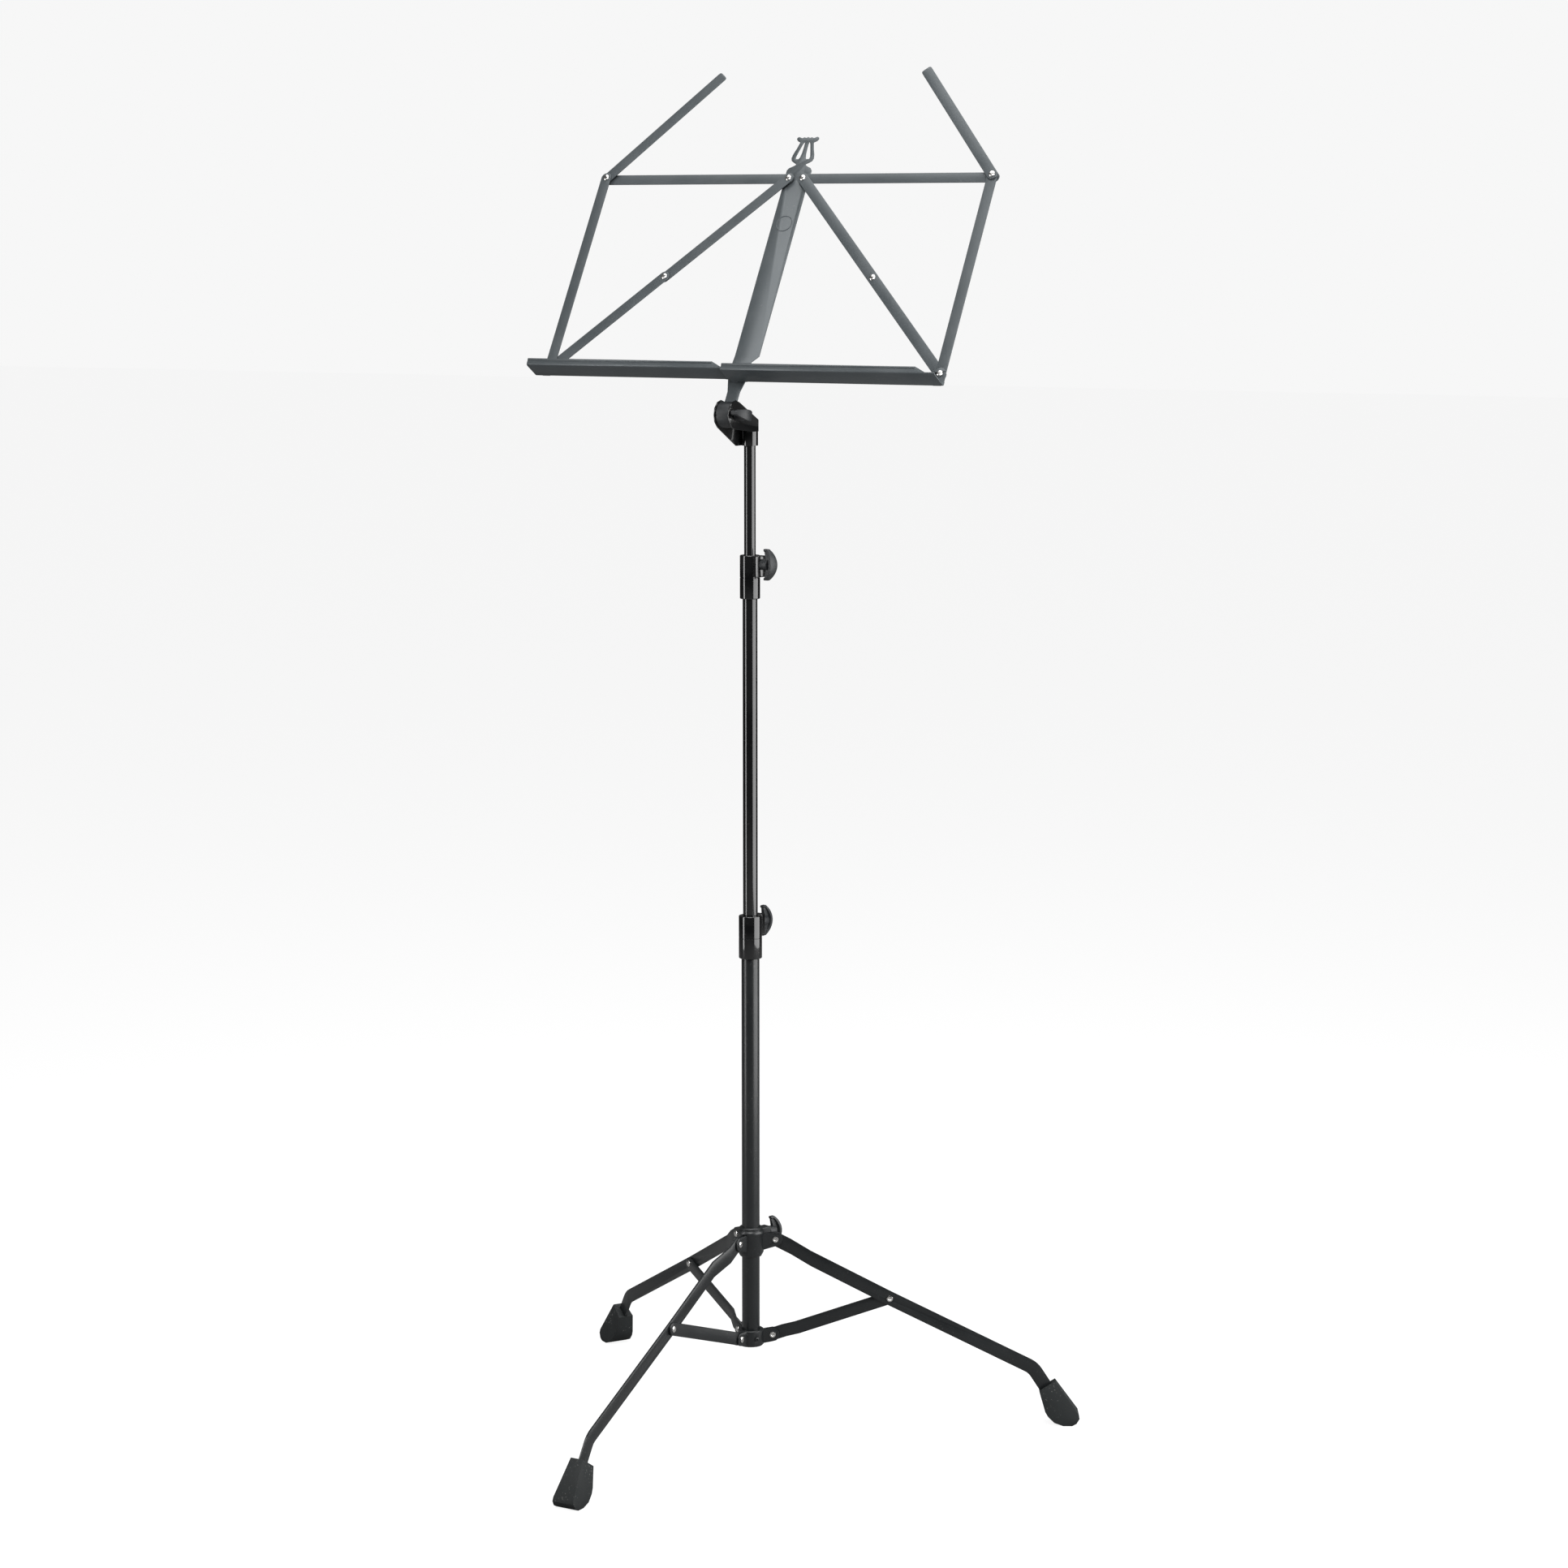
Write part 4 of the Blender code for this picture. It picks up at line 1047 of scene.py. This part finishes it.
@dataclass
class Desk:
    """Plate with its lyre, the folding bars, the page arms and the split ledge.

    Args:
        shop: the workshop.
        bar_width: width of the flat bars.
        bead: radius of the bead on the ledge's lip.
        ring_drop: how far the plate's ring lies below the top pivots.
    """

    shop: Workshop
    bar_width: float = 13.6 * MM
    bead: float = 1.5 * MM
    ring_drop: float = 62.0 * MM

    def build(self) -> None:
        """Models and mounts the desk."""
        self.normal = joint_axis("ledge_fold_right")
        self.up = self.normal.cross(SIDEWAYS)
        self.shop.pressed("desk_plate", 0.3 * MM)
        self.emblem()
        for side in SIDES:
            self.bars(side)
            self.shop.pressed(f"ledge_{side}", 0.3 * MM)
            self.hem(side)
            self.rivets(side)

    def emblem(self) -> None:
        """Models the plain raised ring on the plate."""
        front = min(point.dot(self.normal) for point in node_points("desk_plate")) + 1.4 * MM
        pivots = joint_place("top_bar_fold_left") * 0.5 + joint_place("top_bar_fold_right") * 0.5
        centre = pivots - self.up * self.ring_drop
        deselect()
        bpy.ops.mesh.primitive_torus_add(major_radius=10.4 * MM, minor_radius=0.7 * MM, major_segments=64,
                                         minor_segments=10)
        ring = bpy.context.object
        ring.name = ring.data.name = "plate_ring"
        ring.scale.z = 0.6
        origin = centre - self.normal * centre.dot(self.normal) + self.normal * front
        settle(ring)
        settle(ring, axis_frame(origin, self.normal))
        activate(ring)
        bpy.ops.object.shade_smooth()
        self.shop.fit(ring, body="desk", finish=Finish.DESK)

    def corner_point(self, side: str) -> Vector:
        """The outer end pivot of one ledge half."""
        return centre_line(f"ledge_end_rivet_{side}", self.normal)

    def bars(self, side: str) -> None:
        """Models the flat bars of one side."""
        elbow = joint_place(f"elbow_fold_{side}")
        outer = joint_place(f"side_bar_fold_{side}")
        arm_node = f"page_arm_{side}"
        arm_start = joint_place(f"page_arm_turn_{side}")
        points = node_points(arm_node)
        flat = [p - self.normal * (p - arm_start).dot(self.normal) for p in points]
        run = max(flat, key=lambda p: (p - arm_start).length) - arm_start
        mean = sum(flat, Vector()) / len(flat) - arm_start
        arm_end = arm_start + mean.normalized() * (run.length - self.bar_width / 2 - 2.2 * MM)
        runs = {
            f"top_bar_{side}": (joint_place(f"top_bar_fold_{side}"), outer),
            f"side_bar_{side}": (outer, self.corner_point(side)),
            f"upper_diagonal_{side}": (joint_place(f"diagonal_fold_{side}"), elbow),
            f"lower_diagonal_{side}": (elbow, self.corner_point(side)),
            arm_node: (arm_start, arm_end),
        }
        for node, (start, end) in runs.items():
            low, high = extent(node, self.normal)
            piece = bar_piece(f"{node}_strip", start, end, self.normal, low, high, self.bar_width,
                              node == arm_node)
            self.shop.fit(piece, node)

    def rivets(self, side: str) -> None:
        """Sets the rivets of one side."""
        for name in ("centre_rivet", "elbow_rivet", "corner_rivet", "ledge_rivet"):
            Rivet().set_in(self.shop, f"{name}_{side}", self.normal)
        Rivet().set_in(self.shop, f"ledge_end_rivet_{side}", self.normal, RivetEnd.DOME, RivetEnd.FLUSH)

    def hem(self, side: str) -> None:
        """Models the rolled bead along the top of a ledge's lip."""
        node = f"ledge_{side}"
        front = extent(node, self.normal)[1]
        lip = [point for point in node_points(node) if point.dot(self.normal) > front - 2 * MM]
        top = max(point.dot(self.up) for point in lip)
        near = [point.x for point in lip if point.dot(self.up) > top - 2 * self.bead]
        start = SIDEWAYS * min(near) + self.normal * (front - 0.5 * MM) + self.up * (top - self.bead)
        deselect()
        length = max(near) - min(near)
        bpy.ops.mesh.primitive_cylinder_add(vertices=20, radius=self.bead, depth=length,
                                            location=(0, 0, length / 2))
        bead = bpy.context.object
        bead.name = bead.data.name = f"{node}_hem"
        settle(bead)
        soften(bead, 0.5 * MM, 2, 60)
        settle(bead, axis_frame(start, SIDEWAYS, self.normal))
        self.shop.fit(bead, body=BODY_OF[node], finish=Finish.DESK)


@dataclass(frozen=True)
class SoftBox:
    """One soft light.

    Args:
        name: its name.
        round_by: how far it hangs round from the camera, in degrees.
        away: level distance from the origin.
        height: height of its middle.
        aimed: height of the point that it faces.
        size: width and height.
        power: power in watts.
    """

    name: str
    round_by: float
    away: float
    height: float
    aimed: float
    size: tuple[float, float]
    power: float


SOFT_BOXES = (
    SoftBox("left_strip", -73, 1.75, 1.25, 1.25, (0.42, 2.4), 17),
    SoftBox("right_wall", 72, 1.9, 1.25, 1.25, (2.2, 2.4), 62),
    SoftBox("front_top", -8, 2.6, 3.6, 0.9, (2.6, 1.6), 95),
    SoftBox("overhead", 150, 0.5, 3.4, 0.9, (2.4, 2.4), 60),
)


@dataclass
class Studio:
    """Pale floor, soft lights and the camera.

    Args:
        distance: from the camera to the column's axis, level.
        azimuth: how far the camera stands round to the reader's right, in degrees.
        height: height of the camera.
        pitch: how far it looks down, in degrees.
        yaw: how far it looks past the column, in degrees.
        lens: focal length in millimetres on a 36 mm sensor.
        sky_seen: grey of the surroundings in view.
        sky_dim: grey of the surroundings as a light.
        floor_glow: glow of the floor in view.
        floor_pale: grey of the floor in view.
        floor_share: share of the floor that takes light and shadow.
        floor_dim: grey of the floor as it throws light back.
    """

    distance: float = 4.642
    azimuth: float = 28.5
    height: float = 1.466
    pitch: float = 8.149
    yaw: float = 0.508
    lens: float = 88.33
    sky_seen: float = 0.93
    sky_dim: float = 0.08
    floor_glow: float = 1.10
    floor_pale: float = 0.93
    floor_share: float = 0.18
    floor_dim: float = 0.25

    def build(self) -> None:
        """Builds the stage."""
        axis = centre_line("lower_tube", UPRIGHT)
        turn = math.radians(self.azimuth)
        data = bpy.data.cameras.new("camera")
        data.lens = self.lens
        data.sensor_width = 36.0
        data.clip_end = 60.0
        camera = linked("camera", data)
        camera.location = (axis.x + self.distance * math.sin(turn), axis.y - self.distance * math.cos(turn),
                           self.height)
        camera.rotation_euler = (math.radians(90 - self.pitch), 0.0, turn - math.radians(self.yaw))
        bpy.context.scene.camera = camera
        self.floor()
        self.lights(turn)

    def floor(self) -> None:
        """Models the plain floor, which stays pale in view but throws little light back up."""
        deselect()
        bpy.ops.mesh.primitive_plane_add(size=60.0, location=(0, 0, 0))
        floor = bpy.context.object
        floor.name = "studio_floor"
        material = bpy.data.materials.new("studio_floor_paint")
        material.use_nodes = True
        tree = material.node_tree
        tree.nodes.clear()
        seen = self.mixed(tree, self.shader(tree, "ShaderNodeEmission", self.floor_glow),
                          self.shader(tree, "ShaderNodeBsdfDiffuse", self.floor_pale), self.floor_share)
        dim = self.shader(tree, "ShaderNodeBsdfDiffuse", self.floor_dim)
        self.split(tree, dim, seen, "ShaderNodeOutputMaterial")
        floor.data.materials.append(material)

    def split(self, tree: bpy.types.NodeTree, dim, seen, output: str) -> None:
        """Shows one shader to the camera and another to every other ray.

        Args:
            tree: the node tree.
            dim: the shader that gives light.
            seen: the shader in view.
            output: the type of the output node.
        """
        ray = tree.nodes.new("ShaderNodeLightPath").outputs["Is Camera Ray"]
        leave = tree.nodes.new(output)
        tree.links.new(self.mixed(tree, dim, seen, ray), leave.inputs["Surface"])

    def shader(self, tree: bpy.types.NodeTree, kind: str, grey: float) -> bpy.types.NodeSocket:
        """Adds a shader node of a plain linear grey and gives its socket."""
        node = tree.nodes.new(kind)
        node.inputs["Color"].default_value = (grey, grey, grey, 1.0)
        return node.outputs[0]

    def mixed(self, tree: bpy.types.NodeTree, first, second, share) -> bpy.types.NodeSocket:
        """Mixes two shader sockets by a number or a socket, and gives the mixed shader's socket."""
        node = tree.nodes.new("ShaderNodeMixShader")
        if isinstance(share, float):
            node.inputs[0].default_value = share
        else:
            tree.links.new(share, node.inputs[0])
        tree.links.new(first, node.inputs[1])
        tree.links.new(second, node.inputs[2])
        return node.outputs[0]

    def lights(self, turn: float) -> None:
        """Hangs the soft boxes round the stand and sets the pale surroundings.

        Args:
            turn: the camera's azimuth in radians.
        """
        for box in SOFT_BOXES:
            angle = turn + math.radians(box.round_by)
            data = bpy.data.lights.new(f"{box.name}_light", "AREA")
            data.shape = "RECTANGLE"
            data.size, data.size_y = box.size
            data.energy = box.power
            lamp = linked(f"{box.name}_light", data)
            lamp.location = (box.away * math.sin(angle), -box.away * math.cos(angle), box.height)
            aim = Vector((0, 0, box.aimed)) - lamp.location
            lamp.rotation_euler = aim.to_track_quat("-Z", "Y").to_euler()
        world = bpy.data.worlds.new("studio_world")
        world.use_nodes = True
        tree = world.node_tree
        tree.nodes.clear()
        seen = self.shader(tree, "ShaderNodeBackground", self.sky_seen)
        dim = self.shader(tree, "ShaderNodeBackground", self.sky_dim)
        self.split(tree, dim, seen, "ShaderNodeOutputWorld")
        bpy.context.scene.world = world
        bpy.context.scene.view_settings.view_transform = "Standard"


def main() -> None:
    """Builds every sub-assembly, then the stage."""
    logging.basicConfig(level=logging.INFO, format="%(name)s: %(message)s")
    shop = Workshop()
    for assembly in (Column(shop), Knobs(shop), Tripod(shop), TiltJoint(shop), Desk(shop)):
        assembly.build()
    Studio().build()
    deselect()


if __name__ == "__main__":
    main()
